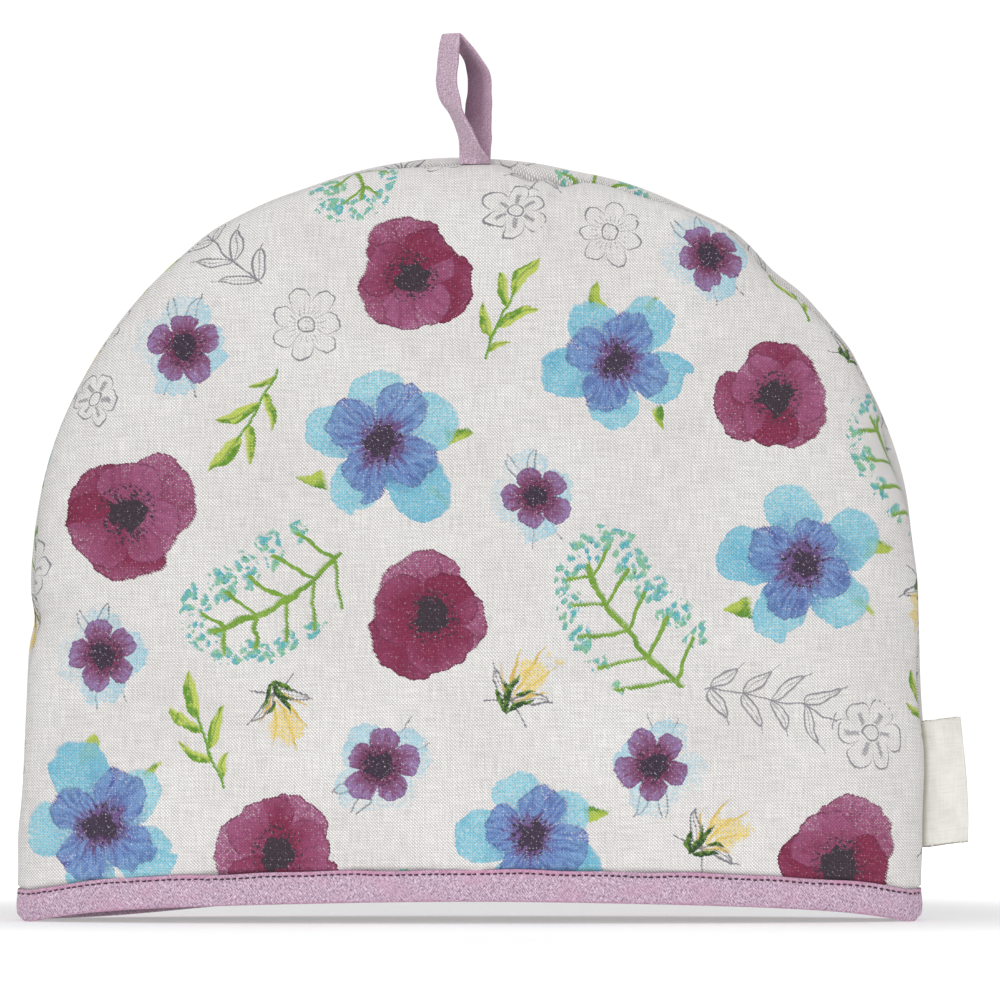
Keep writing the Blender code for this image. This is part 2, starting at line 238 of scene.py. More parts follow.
def skin(side, depth, roll, u, v, inner, creases=(), shift=0.0, uneven=1.0):
    """A panel's outer or inner skin. u runs round the dome, v from the hem up to the seam."""
    round_ = u + CROWDING * np.sin(2 * pi * u)
    inset = skin_inset(side, round_, inner)
    edge_x, edge_z = edge(round_, inset)
    share = 1 - (1 - np.minimum(v / FACE_PART, 1)) ** ROW_CROWDING
    x = HEM_HALF / 2 * (1 - 2 * u) * (1 - share) + edge_x * share
    z = STRAIGHT_HEM * (1 - share) + edge_z * share
    squeeze = HEM_SQUEEZE * bell(z, STRAIGHT_HEM, SWELL_HEIGHT)
    crown = depth - PAD_THICK + squeeze if inner else depth - squeeze
    out, reach = dome_share(side, x, z, inner)
    full = (1 - out**CROWN_POWER) ** (1 / CROWN_ROUND)
    proud = roll + (crown - roll) * full
    if not inner:
        fade = ease((1 - out) * reach / SOFT_EDGE) * uneven
        proud = proud + fade * softness(x, z, out, reach, round_, creases, shift)
    turn = np.clip((v - FACE_PART) / (1 - FACE_PART), 0, 1) * pi / 2
    roll_in = 0.0 if inner else seam_inset(round_) - inset
    rim_x, rim_z = edge(round_, inset + roll_in * (1 - np.cos(turn)))
    rim_deep = SEAM_GAP / 2 + (roll - SEAM_GAP / 2) * (1 - np.sin(turn))
    on_face = v <= FACE_PART
    return stand(
        np.where(on_face, x, rim_x), np.where(on_face, proud, rim_deep), np.where(on_face, z, rim_z), side
    )


def way_along(points):
    """How far along their line each of the points lies."""
    return np.concatenate(([0.0], np.cumsum(np.hypot.reduce(np.diff(points, axis=0), axis=1))))


# The cover is cut this much longer where it goes over the rolled edge.
ROLL_EASE = 1.05
CUT_STEPS = 240


def flat_cut(side, depth, roll, points):
    """Where points of the cover lay on the flat cloth: their way from the middle of the hem."""
    x = points[:, 0] - CENTRE_X
    z = points[:, 2]
    out, reach = dome_share(side, x, np.maximum(z, STRAIGHT_HEM), False)
    rolled = np.clip(roll - side * (points[:, 1] - SEAM_Y), 0.0, roll) * (out > 0.9)
    out = np.where(rolled > 0, 1.0, out)
    steps = 1 - (1 - np.linspace(0, 1, CUT_STEPS + 1)) ** 3
    full = (1 - steps**CROWN_POWER) ** (1 / CROWN_ROUND)
    middle = (reach.min() + reach.max()) / 2
    way = way_along(np.stack([steps * middle, full * (depth - roll)], 1)) / middle
    from_foot = np.hypot(x, np.maximum(z - STRAIGHT_HEM, 0.0))
    grown = (reach * np.interp(out, steps, way) + rolled * ROLL_EASE) / np.maximum(from_foot, 0.001)
    grown = np.where(out < 0.02, 1.0, grown)
    return np.stack([x * grown, STRAIGHT_HEM + (z - STRAIGHT_HEM) * grown], 1)


def only(*objects):
    """Select these objects alone, the last one active."""
    bpy.ops.object.select_all(action="DESELECT")
    for obj in objects:
        obj.select_set(True)
    bpy.context.view_layer.objects.active = objects[-1]


# At its very ends the bound hem is turned up: how far, and over what length.
CORNER_RISE = 0.0028
CORNER_FROM = 0.1642
CORNER_LONG = 0.0050


def hem_low(x, side):
    """Height of the binding's lower fold."""
    return hem_lift(x, side) + CORNER_RISE * ease((np.abs(x) - CORNER_FROM) / CORNER_LONG) ** 2


def places(mesh):
    """The places of a mesh's vertices."""
    co = np.empty(len(mesh.vertices) * 3)
    mesh.vertices.foreach_get("co", co)
    return co.reshape(-1, 3)


def corners(mesh):
    """The vertex at each corner of a mesh's faces."""
    index = np.empty(len(mesh.loops), int)
    mesh.loops.foreach_get("vertex_index", index)
    return index


def cloth_grid(name, columns, rows):
    """A flat grid of cloth, with each vertex's share of the way along and up it."""
    bpy.ops.mesh.primitive_grid_add(x_subdivisions=columns, y_subdivisions=rows, size=1)
    cloth = bpy.context.object
    cloth.name = cloth.data.name = name
    u, v = places(cloth.data)[:, :2].T + 0.5
    return cloth, cloth.data, u, v


def corner_map(mesh, name, per_vertex=None, per_corner=None):
    """A UV map given per vertex or per face corner."""
    layer = mesh.uv_layers.get(name) or mesh.uv_layers.new(name=name)
    if per_corner is None:
        per_corner = per_vertex[corners(mesh)]
    layer.uv.foreach_set("vector", np.ascontiguousarray(per_corner, dtype=np.float32).ravel())


def hem_edges(mesh, v, top):
    """Pick a skin's open edges, apart from those on the seam."""
    only_open = {}
    for poly in mesh.polygons:
        for key in poly.edge_keys:
            only_open[key] = only_open.get(key, 0) + 1
    for item in mesh.edges:
        key = tuple(sorted(item.vertices))
        item.select = only_open.get(key, 0) == 1 and not all(v[i] > top for i in key)


CLIMB_SAMPLES = 60
LOW_SAMPLES = 240


def hem_line(side, depth, roll, inner, count):
    """The hem's wall from the right corner to the left one, at even steps, as x and y."""
    climb = FACE_PART * np.linspace(1, 0, CLIMB_SAMPLES, endpoint=False)
    low = np.linspace(0, 1, LOW_SAMPLES)
    u = np.concatenate([0 * climb, low, 0 * climb + 1])
    v = np.concatenate([climb, 0 * low, climb[::-1]])
    line = skin(side, depth, roll, u, v, inner, uneven=0.0)[:, :2]
    way = way_along(line)
    even = np.linspace(0, way[-1], count)
    return np.stack([np.interp(even, way, line[:, i]) for i in (0, 1)], 1)


# Under the binding the hem is gripped: its outer wall is drawn in by this much.
HEM_GRIP = 0.0012
BINDING_HEIGHT = 0.012
HEM_SAMPLES = 900


def gripped(points, side, depth, roll):
    """Points of the hem's outer wall, drawn in under the binding."""
    line = hem_line(side, depth, roll, False, HEM_SAMPLES)
    away = np.gradient(line, axis=0)[:, ::-1] * (side, -side)
    for _ in range(8):
        away[1:-1] = (away[:-2] + 2 * away[1:-1] + away[2:]) / 4
    away /= np.hypot(*away.T)[:, None]
    nearest = [int(np.argmin(((line - point) ** 2).sum(1))) for point in points]
    return points - away[nearest] * HEM_GRIP


# Heights of the hem's wall above the binding: where its grip begins, and where it is full.
GRIP_HEIGHTS = (0.0014, 0.0004)


def sewn_panel(name, side, depth, roll, creases, shift):
    """Cover and lining laid over the dome, each run down into the hem, and joined all round."""
    skins = []
    for inner in (False, True):
        cloth, mesh, u, v = cloth_grid(name + ("_lining" if inner else ""), COLUMNS, ROWS)
        laid = skin(side, depth, roll, np.clip(u, 0, 1), np.clip(v, 0, 1), inner, creases, shift)
        mesh.vertices.foreach_set("co", laid.ravel())
        mesh.update()
        bpy.ops.object.mode_set(mode="EDIT")
        bpy.ops.mesh.select_all(action="DESELECT")
        bpy.ops.mesh.select_mode(type="EDGE")
        bpy.ops.object.mode_set(mode="OBJECT")
        hem_edges(mesh, v, 1 - 0.1 / ROWS)
        for ring, grip in enumerate((False, not inner, False)):
            count = len(mesh.vertices)
            bpy.ops.object.mode_set(mode="EDIT")
            bpy.ops.mesh.extrude_edges_move()
            bpy.ops.object.mode_set(mode="OBJECT")
            wall = mesh.vertices[count:]
            if grip:
                spots = gripped(np.array([vert.co[:2] for vert in wall]), side, depth, roll)
                for vert, spot in zip(wall, spots):
                    vert.co.x, vert.co.y = spot
            for vert in wall:
                across = vert.co.x - CENTRE_X
                if ring < len(GRIP_HEIGHTS):
                    vert.co.z = float(hem_lift(across, side)) + BINDING_HEIGHT + GRIP_HEIGHTS[ring]
                else:
                    vert.co.z = float(hem_low(across, side)) + BINDING_THICK + CLEARANCE
        skins.append(cloth)
    cover_faces = len(skins[0].data.polygons)
    only(skins[1], skins[0])
    bpy.ops.object.join()
    panel = bpy.context.object
    bpy.ops.object.mode_set(mode="EDIT")
    bpy.ops.mesh.select_mode(type="EDGE")
    bpy.ops.mesh.select_all(action="DESELECT")
    bpy.ops.mesh.select_non_manifold()
    bpy.ops.mesh.bridge_edge_loops()
    bpy.ops.mesh.select_all(action="SELECT")
    bpy.ops.mesh.normals_make_consistent(inside=False)
    bpy.ops.object.mode_set(mode="OBJECT")
    bpy.ops.object.shade_smooth()
    panel.name = panel.data.name = name
    return panel, cover_faces


# The cloth: a plain weave of soft cotton threads.
THREAD = 0.00062


def as_node(operation):
    """A method that puts its strand through a Math node."""
    return lambda strand, *others: strand.math(operation, *others)


class Strand:
    """A number that varies over the cloth. Sums and products of strands are Math nodes."""

    def __init__(self, socket):
        self.tree, self.socket = socket.id_data, socket

    def math(self, operation, *others, clamp=False):
        node = self.tree.nodes.new("ShaderNodeMath")
        node.operation, node.use_clamp = operation, clamp
        for socket, value in zip(node.inputs, (self, *others)):
            feed(socket, value)
        return Strand(node.outputs[0])

    __add__ = __radd__ = as_node("ADD")
    __mul__ = __rmul__ = as_node("MULTIPLY")
    __sub__, __truediv__, __pow__ = as_node("SUBTRACT"), as_node("DIVIDE"), as_node("POWER")
    sin, cos, abs = as_node("SINE"), as_node("COSINE"), as_node("ABSOLUTE")
    floor, fract = as_node("FLOOR"), as_node("FRACT")
    most, least = as_node("MAXIMUM"), as_node("MINIMUM")

    def __rsub__(self, other):
        return self * -1.0 + other

    def held(self):
        """Kept between 0 and 1."""
        return self.math("MULTIPLY", 1.0, clamp=True)

    def fade(self, *span):
        """0 below the span and 1 above it, smooth between. A span of one number starts at 0."""
        low, high = span if len(span) == 2 else (0.0, *span)
        node = self.tree.nodes.new("ShaderNodeMapRange")
        node.interpolation_type = "SMOOTHSTEP"
        for socket, value in zip(node.inputs, (self, low, high, 0.0, 1.0)):
            feed(socket, value)
        return Strand(node.outputs[0])


def feed(socket, value):
    """Link a strand, or three as a vector, to a socket, or set the socket to a plain value."""
    if isinstance(value, Strand):
        value.tree.links.new(value.socket, socket)
    elif isinstance(value, tuple) and isinstance(value[0], Strand):
        node = value[0].tree.nodes.new("ShaderNodeCombineXYZ")
        for part, item in zip(node.inputs, value):
            feed(part, item)
        value[0].tree.links.new(node.outputs[0], socket)
    else:
        socket.default_value = value


def feed_all(node, **given):
    """Feed a node's sockets by name, with an underscore for a space."""
    for label, value in given.items():
        feed(node.inputs[label.replace("_", " ")], value)
    return node


def beside(place, kind):
    """A new node in the tree of a strand, or of a vector's first strand."""
    return (place[0] if isinstance(place, tuple) else place).tree.nodes.new("ShaderNode" + kind)


def grain(place, scale, detail=2.0, rough=0.5, colour=False):
    """Soft noise."""
    node = feed_all(beside(place, "TexNoise"), Vector=place, Scale=scale, Detail=detail, Roughness=rough)
    return Strand(node.outputs["Color" if colour else "Fac"])


def dots(place, scale):
    """How far the nearest of many scattered dots is."""
    return Strand(feed_all(beside(place, "TexVoronoi"), Vector=place, Scale=scale).outputs["Distance"])


def chance(number):
    """A random share for a number."""
    node = beside(number, "TexWhiteNoise")
    node.noise_dimensions = "1D"
    return Strand(feed_all(node, W=number).outputs["Value"])


def split(place):
    """The first two parts of a vector."""
    node = feed_all(beside(place, "SeparateXYZ"), Vector=place)
    return Strand(node.outputs[0]), Strand(node.outputs[1])


def new_effect(name, takes, gives):
    """A shader node group with named inputs and outputs: its inputs by name, and its end."""
    tree = bpy.data.node_groups.new(name, "ShaderNodeTree")
    kinds = {"v": "NodeSocketVector", "f": "NodeSocketFloat", "c": "NodeSocketColor"}
    for label, kind, value in takes:
        socket = tree.interface.new_socket(label, in_out="INPUT", socket_type=kinds[kind])
        if value is not None:
            socket.default_value = value
    for label, kind in gives:
        tree.interface.new_socket(label, in_out="OUTPUT", socket_type=kinds[kind])
    start = tree.nodes.new("NodeGroupInput")
    end = tree.nodes.new("NodeGroupOutput")
    return {label: Strand(start.outputs[label]) for label, kind, value in takes}, end


def dye(red, green, blue):
    """A colour as a dyer's card gives it, 0 to 255, in linear light."""
    linear = [((c / 255 + 0.055) / 1.055) ** 2.4 if c > 10 else c / 3295 for c in (red, green, blue)]
    return (*linear, 1.0)


def mixed(under, over, share):
    """One colour turning into another by a share."""
    node = beside(share, "Mix")
    node.data_type = "RGBA"
    return Strand(feed_all(node, Factor=share, A=under, B=over).outputs["Result"])


woven_in, done = new_effect(
    "plain_weave",
    [("Cloth", "v", None), ("Thread", "f", THREAD), ("Groove", "f", 0.24), ("Lift", "f", 0.15),
     ("Slub", "f", 0.10)],
    [("Shade", "f"), ("Height", "f"), ("Screen", "f")],
)
weave = done.id_data
cloth = woven_in["Cloth"]
across, along = split(cloth)
wander = grain(cloth, 240.0, 2.0)
u_line = across / woven_in["Thread"] + (wander - 0.5) * 0.9
v_line = along / woven_in["Thread"] + (wander - 0.5) * 0.7
crossing = (u_line * pi).sin() * (v_line * pi).sin()
round_thread = crossing.abs() ** 0.45
hatch = ((u_line - v_line) * pi).cos() * 0.35 - ((u_line + v_line) * pi).cos() * 0.65
warp_slub = grain((across * 1500.0, along * 110.0, 0.0), 1.0, 2.0)
weft_slub = grain((across * 110.0, along * 1500.0, 7.0), 1.0, 2.0)
fluff = grain(cloth, 2600.0, 1.0)
slubs = (warp_slub + weft_slub - 1.0) * 2.2 + (fluff - 0.5) * 0.8
grooves = woven_in["Groove"] * (0.8 - round_thread)
# Shade is painted shade of the threads: darker in the grooves between them, and lighter and darker on
# alternate crossings in a diagonal hatch. The slubs add uneven tone.
feed_all(
    done,
    Shade=1.0 - grooves + hatch * woven_in["Lift"] + slubs * woven_in["Slub"],
    Height=round_thread * 0.75 + slubs * 0.2,
    Screen=0.5 - hatch * 0.5 + (fluff - 0.5) * 0.35,
)


def use(tree, effect, **given):
    """Place a node group in a material, and feed it."""
    node = tree.nodes.new("ShaderNodeGroup")
    node.node_tree = effect
    return {socket.name: Strand(socket) for socket in feed_all(node, **given).outputs}


def new_finish(name):
    """A new material, its node tree and its shader."""
    finish = bpy.data.materials.new(name)
    finish.use_nodes = True
    tree = finish.node_tree
    return finish, tree, tree.nodes["Principled BSDF"]


def uv(tree, name):
    """A UV map of the piece."""
    node = tree.nodes.new("ShaderNodeUVMap")
    node.uv_map = name
    return Strand(node.outputs[0])


def attribute(tree, name):
    """An attribute of the piece."""
    node = tree.nodes.new("ShaderNodeAttribute")
    node.attribute_name = name
    return Strand(node.outputs["Fac"])


def tinted(colour, shade):
    """A colour times a grey shade."""
    node = beside(shade, "VectorMath")
    node.operation = "SCALE"
    feed(node.inputs[0], colour if isinstance(colour, Strand) else colour[:3])
    feed(node.inputs["Scale"], shade)
    return Strand(node.outputs[0])


def cloth_shader(shader, colour, height, strength, rough=0.92):
    """Matt cloth of a colour, with the relief of its threads."""
    feed_all(
        shader, Base_Color=colour, Roughness=rough, Specular_IOR_Level=0.25,
        Sheen_Weight=0.12, Sheen_Roughness=0.6,
    )
    bump = feed_all(beside(height, "Bump"), Strength=strength, Distance=0.00012, Height=height)
    height.tree.links.new(bump.outputs[0], shader.inputs["Normal"])


# The print. Each motif is drawn in a disc of radius 1 round its own middle.
GROUND = dye(228, 226, 224)
INK_GREY = dye(126, 126, 133)


def layer(under, over, cover):
    """Lay one wash over those under it: (colour, cover) pairs."""
    colour, laid = under
    if colour is None:
        return over, cover
    total = 1.0 - (1.0 - laid) * (1.0 - cover)
    return mixed(colour, over, (cover / total.most(0.001)).held()), total


def polar(x, y):
    """How far from the middle, and in which direction."""
    return (x * x + y * y).math("SQRT"), y.math("ARCTAN2", x)


def petals(x, y, count, waist, tip, phase, seed, lot, square=2.6, ruffle=0.05):
    """A ring of petals: how far inside the nearest petal's edge, its share out, across, and its number."""
    r, turn = polar(x, y)
    step = turn * (count / (2 * pi)) + (phase + 40.0)
    number = step.floor() + lot * 50.0 + seed
    across = step.fract() - 0.5
    size = chance(number) * 0.22 + 0.80
    full = (1.0 - (across.abs() * 2.0) ** square).most(0.0) ** 0.5
    frill = grain((x, y, lot * 9.0 + seed), 7.0, 3.0) - 0.5
    reach = waist + (size * tip - waist) * full + frill * (ruffle * 2.0)
    return reach - r, r / tip, across, number


def rotated(x, y, degrees):
    """A place as seen from axes turned by some degrees."""
    c, s = cos(radians(degrees)), sin(radians(degrees))
    return x * c + y * s, y * c - x * s


def leaf(x, y, at, heading, long, wide, bend=0.0):
    """One leaf from its stalk's end: how far inside its edge, how far along, how far across."""
    along, across = rotated(x - at[0], y - at[1], heading)
    share = (along / long).held()
    across = across - share * (1.0 - share) * (4.0 * bend)
    half = ((share * (1.0 - share)).most(0.0) ** 0.62) * (wide * 2.2) * (1.18 - share * 0.36)
    return half - across.abs() - 0.004, share, across


def motif(name):
    """A group that draws a motif: its place in the motif, a little warped, its lot and its end."""
    given, end = new_effect(name, [("Place", "v", None), ("Lot", "f", 0.0)], [("Ink", "c"), ("Cover", "f")])
    x, y = split(given["Place"])
    lot = given["Lot"]
    warp = grain((x, y, lot * 17.0), 2.3, 2.0, colour=True)
    wx, wy = split(warp)
    return x + (wx - 0.5) * 0.22, y + (wy - 0.5) * 0.22, lot, end


def finish_motif(end, laid):
    """Give the drawing's ink and how much of it covers the cloth."""
    return feed_all(end, Ink=laid[0], Cover=laid[1].held()).id_data


def heart(x, y, lot, laid, size, colour):
    """The dark eye of a flower, with loose anthers round it."""
    r, _ = polar(x, y)
    rough = grain((x, y, lot * 3.0), 9.0, 3.0)
    laid = layer(laid, colour, (size * 0.86 + (rough - 0.5) * 0.34 - r).fade(0.03))
    spots = 0.42 - dots((x, y, lot * 5.0), 24.0)
    ring = 1.0 - ((r - size) / (size * 0.42)).abs()
    return layer(laid, colour, spots.fade(0.06) * ring.fade(0.05, 0.55))


# The grey pen line of the outlined flowers.
PEN = 0.0140


def pen(x, y, lot, inside, width=PEN):
    """A thin broken line along an edge."""
    break_up = grain((x, y, lot * 2.0), 16.0, 2.0)
    return (width - inside.abs()).fade(width * 0.9) * (break_up - 0.20).fade(0.12)


# A big plum flower, two rings of broad petals washed from wine red out to mauve.
x, y, lot, end = motif("plum_flower")
laid = (None, None)
for count, waist, tip, phase, seed in ((3, 0.30, 0.93, 0.35, 1.0), (3, 0.34, 0.84, 0.86, 5.0)):
    inside, out, mid, number = petals(x, y, count, waist, tip, phase, seed, lot, 3.2, 0.05)
    wash = grain((x, y, lot * 7.0 + seed), 1.7, 3.0)
    paler = (chance(number + 3.0) * 0.9 + wash * 1.2 + out * 0.9 - 1.30).held()
    colour = mixed(dye(132, 44, 76), dye(168, 98, 138), paler)
    vein = grain((mid * 9.0, out * 1.3, number * 3.0), 2.2, 2.0)
    colour = mixed(colour, dye(104, 30, 60), (vein - 0.45).fade(0.3) * 0.45)
    colour = mixed(colour, dye(92, 28, 54), (0.045 - inside).fade(0.035) * 0.8)
    laid = layer(laid, colour, inside.fade(0.02) * (1.02 - paler * 0.26))
laid = heart(x, y, lot, laid, 0.30, dye(62, 50, 60))
plum_flower = finish_motif(end, laid)

# A big sky-blue flower: pale turquoise petals under smaller violet-blue ones.
x, y, lot, end = motif("sky_flower")
laid = (None, None)
for at, heading, long, wide, green in (
    ((0.10, -0.30), -62, 0.66, 0.13, 0.3), ((-0.35, 0.25), 128, 0.56, 0.11, 0.0),
    ((-0.2, -0.3), -108, 0.6, 0.07, 0.7),
):
    inside, share, across = leaf(x, y, at, heading, long, wide, 0.06)
    tint = grain((x, y, lot + green), 7.0, 3.0)
    colour = mixed(dye(178, 196, 84), dye(92, 142, 48), (tint + across * 2.5 - 0.42).fade(0.3))
    laid = layer(laid, colour, inside.fade(0.02) * (share - 0.5).fade(0.08))
inside, out, mid, number = petals(x, y, 5, 0.26, 0.94, 0.15, 2.0, lot, 2.2, 0.05)
wash = grain((x, y, lot * 4.0), 2.4, 4.0)
deep = (wash * 1.5 + chance(number) * 0.6 - 0.75).held()
colour = mixed(dye(146, 206, 220), dye(98, 174, 204), deep)
colour = mixed(colour, dye(84, 118, 176), (0.62 - out + (wash - 0.5) * 0.6).fade(0.35) * 0.75)
colour = mixed(colour, dye(70, 140, 180), (0.03 - inside).fade(0.03) * 0.45)
laid = layer(laid, colour, inside.fade(0.02) * (deep * 0.30 + 0.66))
inside, out, mid, number = petals(x, y, 4, 0.18, 0.66, 0.62, 8.0, lot, 2.4, 0.07)
streak = grain((mid * 7.0, out * 1.6, number * 2.0), 2.4, 3.0)
colour = mixed(dye(120, 150, 202), dye(78, 90, 162), (streak - 0.35).fade(0.35))
colour = mixed(colour, dye(112, 52, 110), (0.52 - out + (streak - 0.5) * 0.7).fade(0.3) * 0.9)
colour = mixed(colour, dye(66, 58, 120), (0.045 - inside).fade(0.04) * 0.7)
laid = layer(laid, colour, inside.fade(0.02) * (0.92 - out * 0.22))
laid = heart(x, y, lot, laid, 0.19, dye(64, 52, 72))
sky_flower = finish_motif(end, laid)

# A small violet flower in a pale wash of blue that has run out beyond its petals.
x, y, lot, end = motif("violet_flower")
inside, out, mid, number = petals(x, y - 0.12, 4, 0.55, 0.96, 0.3, 4.0, lot, 2.0, 0.16)
wash = grain((x, y, lot * 8.0), 2.6, 4.0)
lines = pen(x, y, lot, leaf(x, y, (0.30, 0.30), 42, 0.62, 0.10, 0.05)[0], 0.022)
lines = lines.most(pen(x, y, lot, leaf(x, y, (0.35, 0.1), 8, 0.60, 0.09, 0.04)[0], 0.022))
halo = mixed(dye(168, 208, 222), dye(136, 190, 214), (0.05 - inside).fade(0.04))
laid = layer((INK_GREY, lines), halo, inside.fade(0.03) * (wash * 0.9 + y * -0.35).held())
inside, out, mid, number = petals(x, y, 5, 0.32, 0.74, 0.1, 6.0, lot, 2.6, 0.08)
streak = grain((mid * 6.0, out * 1.5, number * 2.0), 2.4, 3.0)
colour = mixed(dye(128, 66, 108), dye(148, 120, 168), (streak * 0.9 + out * 0.7 - 0.75).fade(0.4))
colour = mixed(colour, dye(116, 38, 76), (0.56 - out + (streak - 0.5) * 0.8).fade(0.25) * 0.9)
colour = mixed(colour, dye(92, 48, 104), (0.05 - inside).fade(0.04) * 0.7)
laid = layer(laid, colour, inside.fade(0.025) * 0.95)
laid = heart(x, y, lot, laid, 0.30, dye(62, 48, 66))
violet_flower = finish_motif(end, laid)

# A green spray: side stalks in pairs up a bent stem, each ending in a head of tiny florets.
x, y, lot, end = motif("floret_spray")
bent = y - (1.0 - x * x) * 0.16
climb = x + 0.9
step = climb / 0.36
up = step.fract() * 0.36
side = bent.abs()
reach = (1.12 - climb * 0.30) * 0.52
slope = 0.52
off = up - side * slope - 0.03
stalk = (0.030 - off.abs()).fade(0.014) * (reach - side).fade(0.02) * (1.62 - climb).fade(0.02)
stem = (0.036 - bent.abs()).fade(0.016) * (x + 0.97).fade(0.02) * (0.74 - x).fade(0.02)
head_x, head_y = up - reach * slope - 0.02, side - reach - 0.05
from_head, _ = polar(head_x * 1.15, head_y)
speck = grain((x, y, lot * 6.0), 13.0, 2.0)
tip_r, _ = polar(x - 0.80, bent)
scatter = dots((x, y, lot), 13.0)
at_head, at_tip = (
    (size - away + (speck - 0.5) * 0.16).fade(0.03) * (near - scatter).fade(0.1)
    for size, away, near in ((0.215, from_head, 0.60), (0.20, tip_r, 0.52))
)
florets = at_head.most(at_tip) * (0.80 - x).fade(-0.3, -0.2)
green = mixed(dye(86, 138, 46), dye(150, 184, 72), grain((x, y, lot), 5.0, 2.0))
petal = mixed(dye(88, 176, 190), dye(132, 190, 150), (speck - 0.35).fade(0.3))
laid = layer((None, None), petal, florets * 0.85)
laid = layer(laid, green, stalk.most(stem))
laid = layer(laid, dye(74, 110, 44), florets * (0.16 - dots((x, y, lot + 2.0), 17.0)).fade(0.06))
floret_spray = finish_motif(end, laid)

# A sprig in grey pen line: a bent stem with paired leaves, and an open daisy at its end.
x, y, lot, end = motif("pen_sprig")
bent = y - (0.6 - x * x) * 0.14
climb = (x + 0.94) / 0.30
up = climb.fract() * 0.30
side = bent.abs()
inside, share, off = leaf(up, side, (0.02, 0.01), 47, 0.34, 0.055)
on_stem = (0.30 - x).fade(0.01) * (x + 0.94).fade(0.01)
lines = pen(x, y, lot, inside) * on_stem
lines = lines.most((0.008 - off.abs()).fade(0.008) * inside.fade(0.01) * on_stem * 0.7)
lines = lines.most(pen(x, y, lot, bent) * (0.34 - x).fade(0.02) * (x + 0.98).fade(0.02))
inside, out, mid, number = petals(x - 0.62, bent, 6, 0.14, 0.33, 0.2, 3.0, lot, 2.4, 0.03)
lines = (lines * (1.0 - inside.fade(-0.01, 0.0))).most(pen(x, y, lot, inside))
eye, _ = polar(x - 0.62, bent)
lines = lines.most(pen(x, y, lot, 0.075 - eye, 0.012))
veins = (0.03 - mid.abs() * eye).fade(0.02) * (eye - 0.09).fade(0.01)
lines = lines.most(veins * (0.22 - eye).fade(0.03) * 0.6)
pen_sprig = finish_motif(end, (mixed(INK_GREY, dye(150, 149, 154), lot), lines * 0.95))

# A pen-line daisy seen face on.
x, y, lot, end = motif("pen_daisy")
inside, out, mid, number = petals(x, y, 7, 0.34, 0.92, 0.0, 9.0, lot, 2.2, 0.05)
eye, _ = polar(x, y)
lines = pen(x, y, lot, inside, 0.034)
lines = lines.most(pen(x, y, lot, 0.20 - eye, 0.03))
veins = (0.05 - ((mid * 3.0).fract() - 0.5).abs() * eye).fade(0.04)
veins = veins * (eye - 0.26).fade(0.03) * (0.56 - eye).fade(0.15)
lines = lines.most(veins * inside.fade(0.05) * 0.6)
lines = lines.most((0.3 - dots((x, y, lot), 13.0)).fade(0.1) * (0.18 - eye).fade(0.03) * 0.8)
pen_daisy = finish_motif(end, (mixed(INK_GREY, dye(148, 147, 152), lot), lines * 0.9))

# A tuft of dark green leaves with straw-yellow blades behind it.
x, y, lot, end = motif("straw_tuft")
laid = (None, None)
for at, heading, long, wide in (
    ((-0.5, 0.0), 24, 1.25, 0.055), ((-0.5, 0.0), -20, 1.2, 0.05), ((-0.45, 0.0), 3, 1.35, 0.06),
    ((-0.5, 0.0), 46, 0.85, 0.05), ((-0.5, 0.0), -44, 0.8, 0.05),
):
    inside, share, off = leaf(x, y, at, heading, long, wide, 0.05)
    colour = mixed(dye(226, 204, 118), dye(206, 164, 66), grain((x, y, lot + heading), 5.0, 3.0))
    laid = layer(laid, colour, inside.fade(0.03) * 0.85)
for heading in (62, -58):
    inside, share, off = leaf(x, y, (-0.45, 0.0), heading, 0.72, 0.10, 0.06)
    rib = (0.012 - off.abs()).fade(0.01) * inside.fade(0.02)
    laid = layer(laid, INK_GREY, pen(x, y, lot, inside, 0.030).most(rib))
blot = grain((x, y, lot * 11.0), 2.2, 4.0)
r, _ = polar(x - 0.2, y)
laid = layer(laid, dye(232, 208, 120), (blot * 1.3 - r - 0.22).fade(0.12) * 0.55)
for at, heading, long, wide in (
    ((-0.75, 0.0), 14, 0.85, 0.085), ((-0.7, 0.0), 52, 0.5, 0.08), ((-0.7, 0.0), -34, 0.62, 0.085),
    ((-0.35, 0.05), 60, 0.36, 0.06), ((-0.3, 0.0), -50, 0.4, 0.06),
):
    inside, share, off = leaf(x, y, at, heading, long, wide, 0.03)
    tint = grain((x, y, lot), 12.0, 2.0)
    colour = mixed(dye(44, 74, 40), dye(104, 140, 52), (tint + off * 3.0 - 0.40).fade(0.3))
    laid = layer(laid, colour, inside.fade(0.03))
straw_tuft = finish_motif(end, laid)

# A stalk of light green leaves, each darker along one side.
x, y, lot, end = motif("green_stalk")
laid = (None, None)
bent = y - (1.0 - x * x) * 0.10
stem = (0.030 - bent.abs()).fade(0.02) * (x + 0.95).fade(0.02) * (0.35 - x).fade(0.02)
for at, heading, long, wide in (
    ((-0.55, 0.06), 40, 0.62, 0.10), ((-0.35, 0.07), -38, 0.72, 0.12), ((0.0, 0.1), 34, 0.62, 0.11),
    ((0.2, 0.1), -10, 0.72, 0.13), ((-0.8, 0.02), -34, 0.42, 0.07),
):
    inside, share, off = leaf(x, y, at, heading, long, wide, 0.05)
    tint = grain((x, y, lot + heading), 8.0, 3.0)
    colour = mixed(dye(188, 204, 96), dye(98, 150, 48), (tint * 1.2 + off * 4.0 - 0.58).fade(0.25))
    colour = mixed(colour, dye(74, 122, 40), (0.022 - off.abs()).fade(0.02) * 0.55)
    colour = mixed(colour, dye(210, 200, 104), (0.03 - inside).fade(0.025) * 0.6)
    laid = layer(laid, colour, inside.fade(0.025))
laid = layer(laid, dye(110, 158, 54), stem)
green_stalk = finish_motif(end, laid)


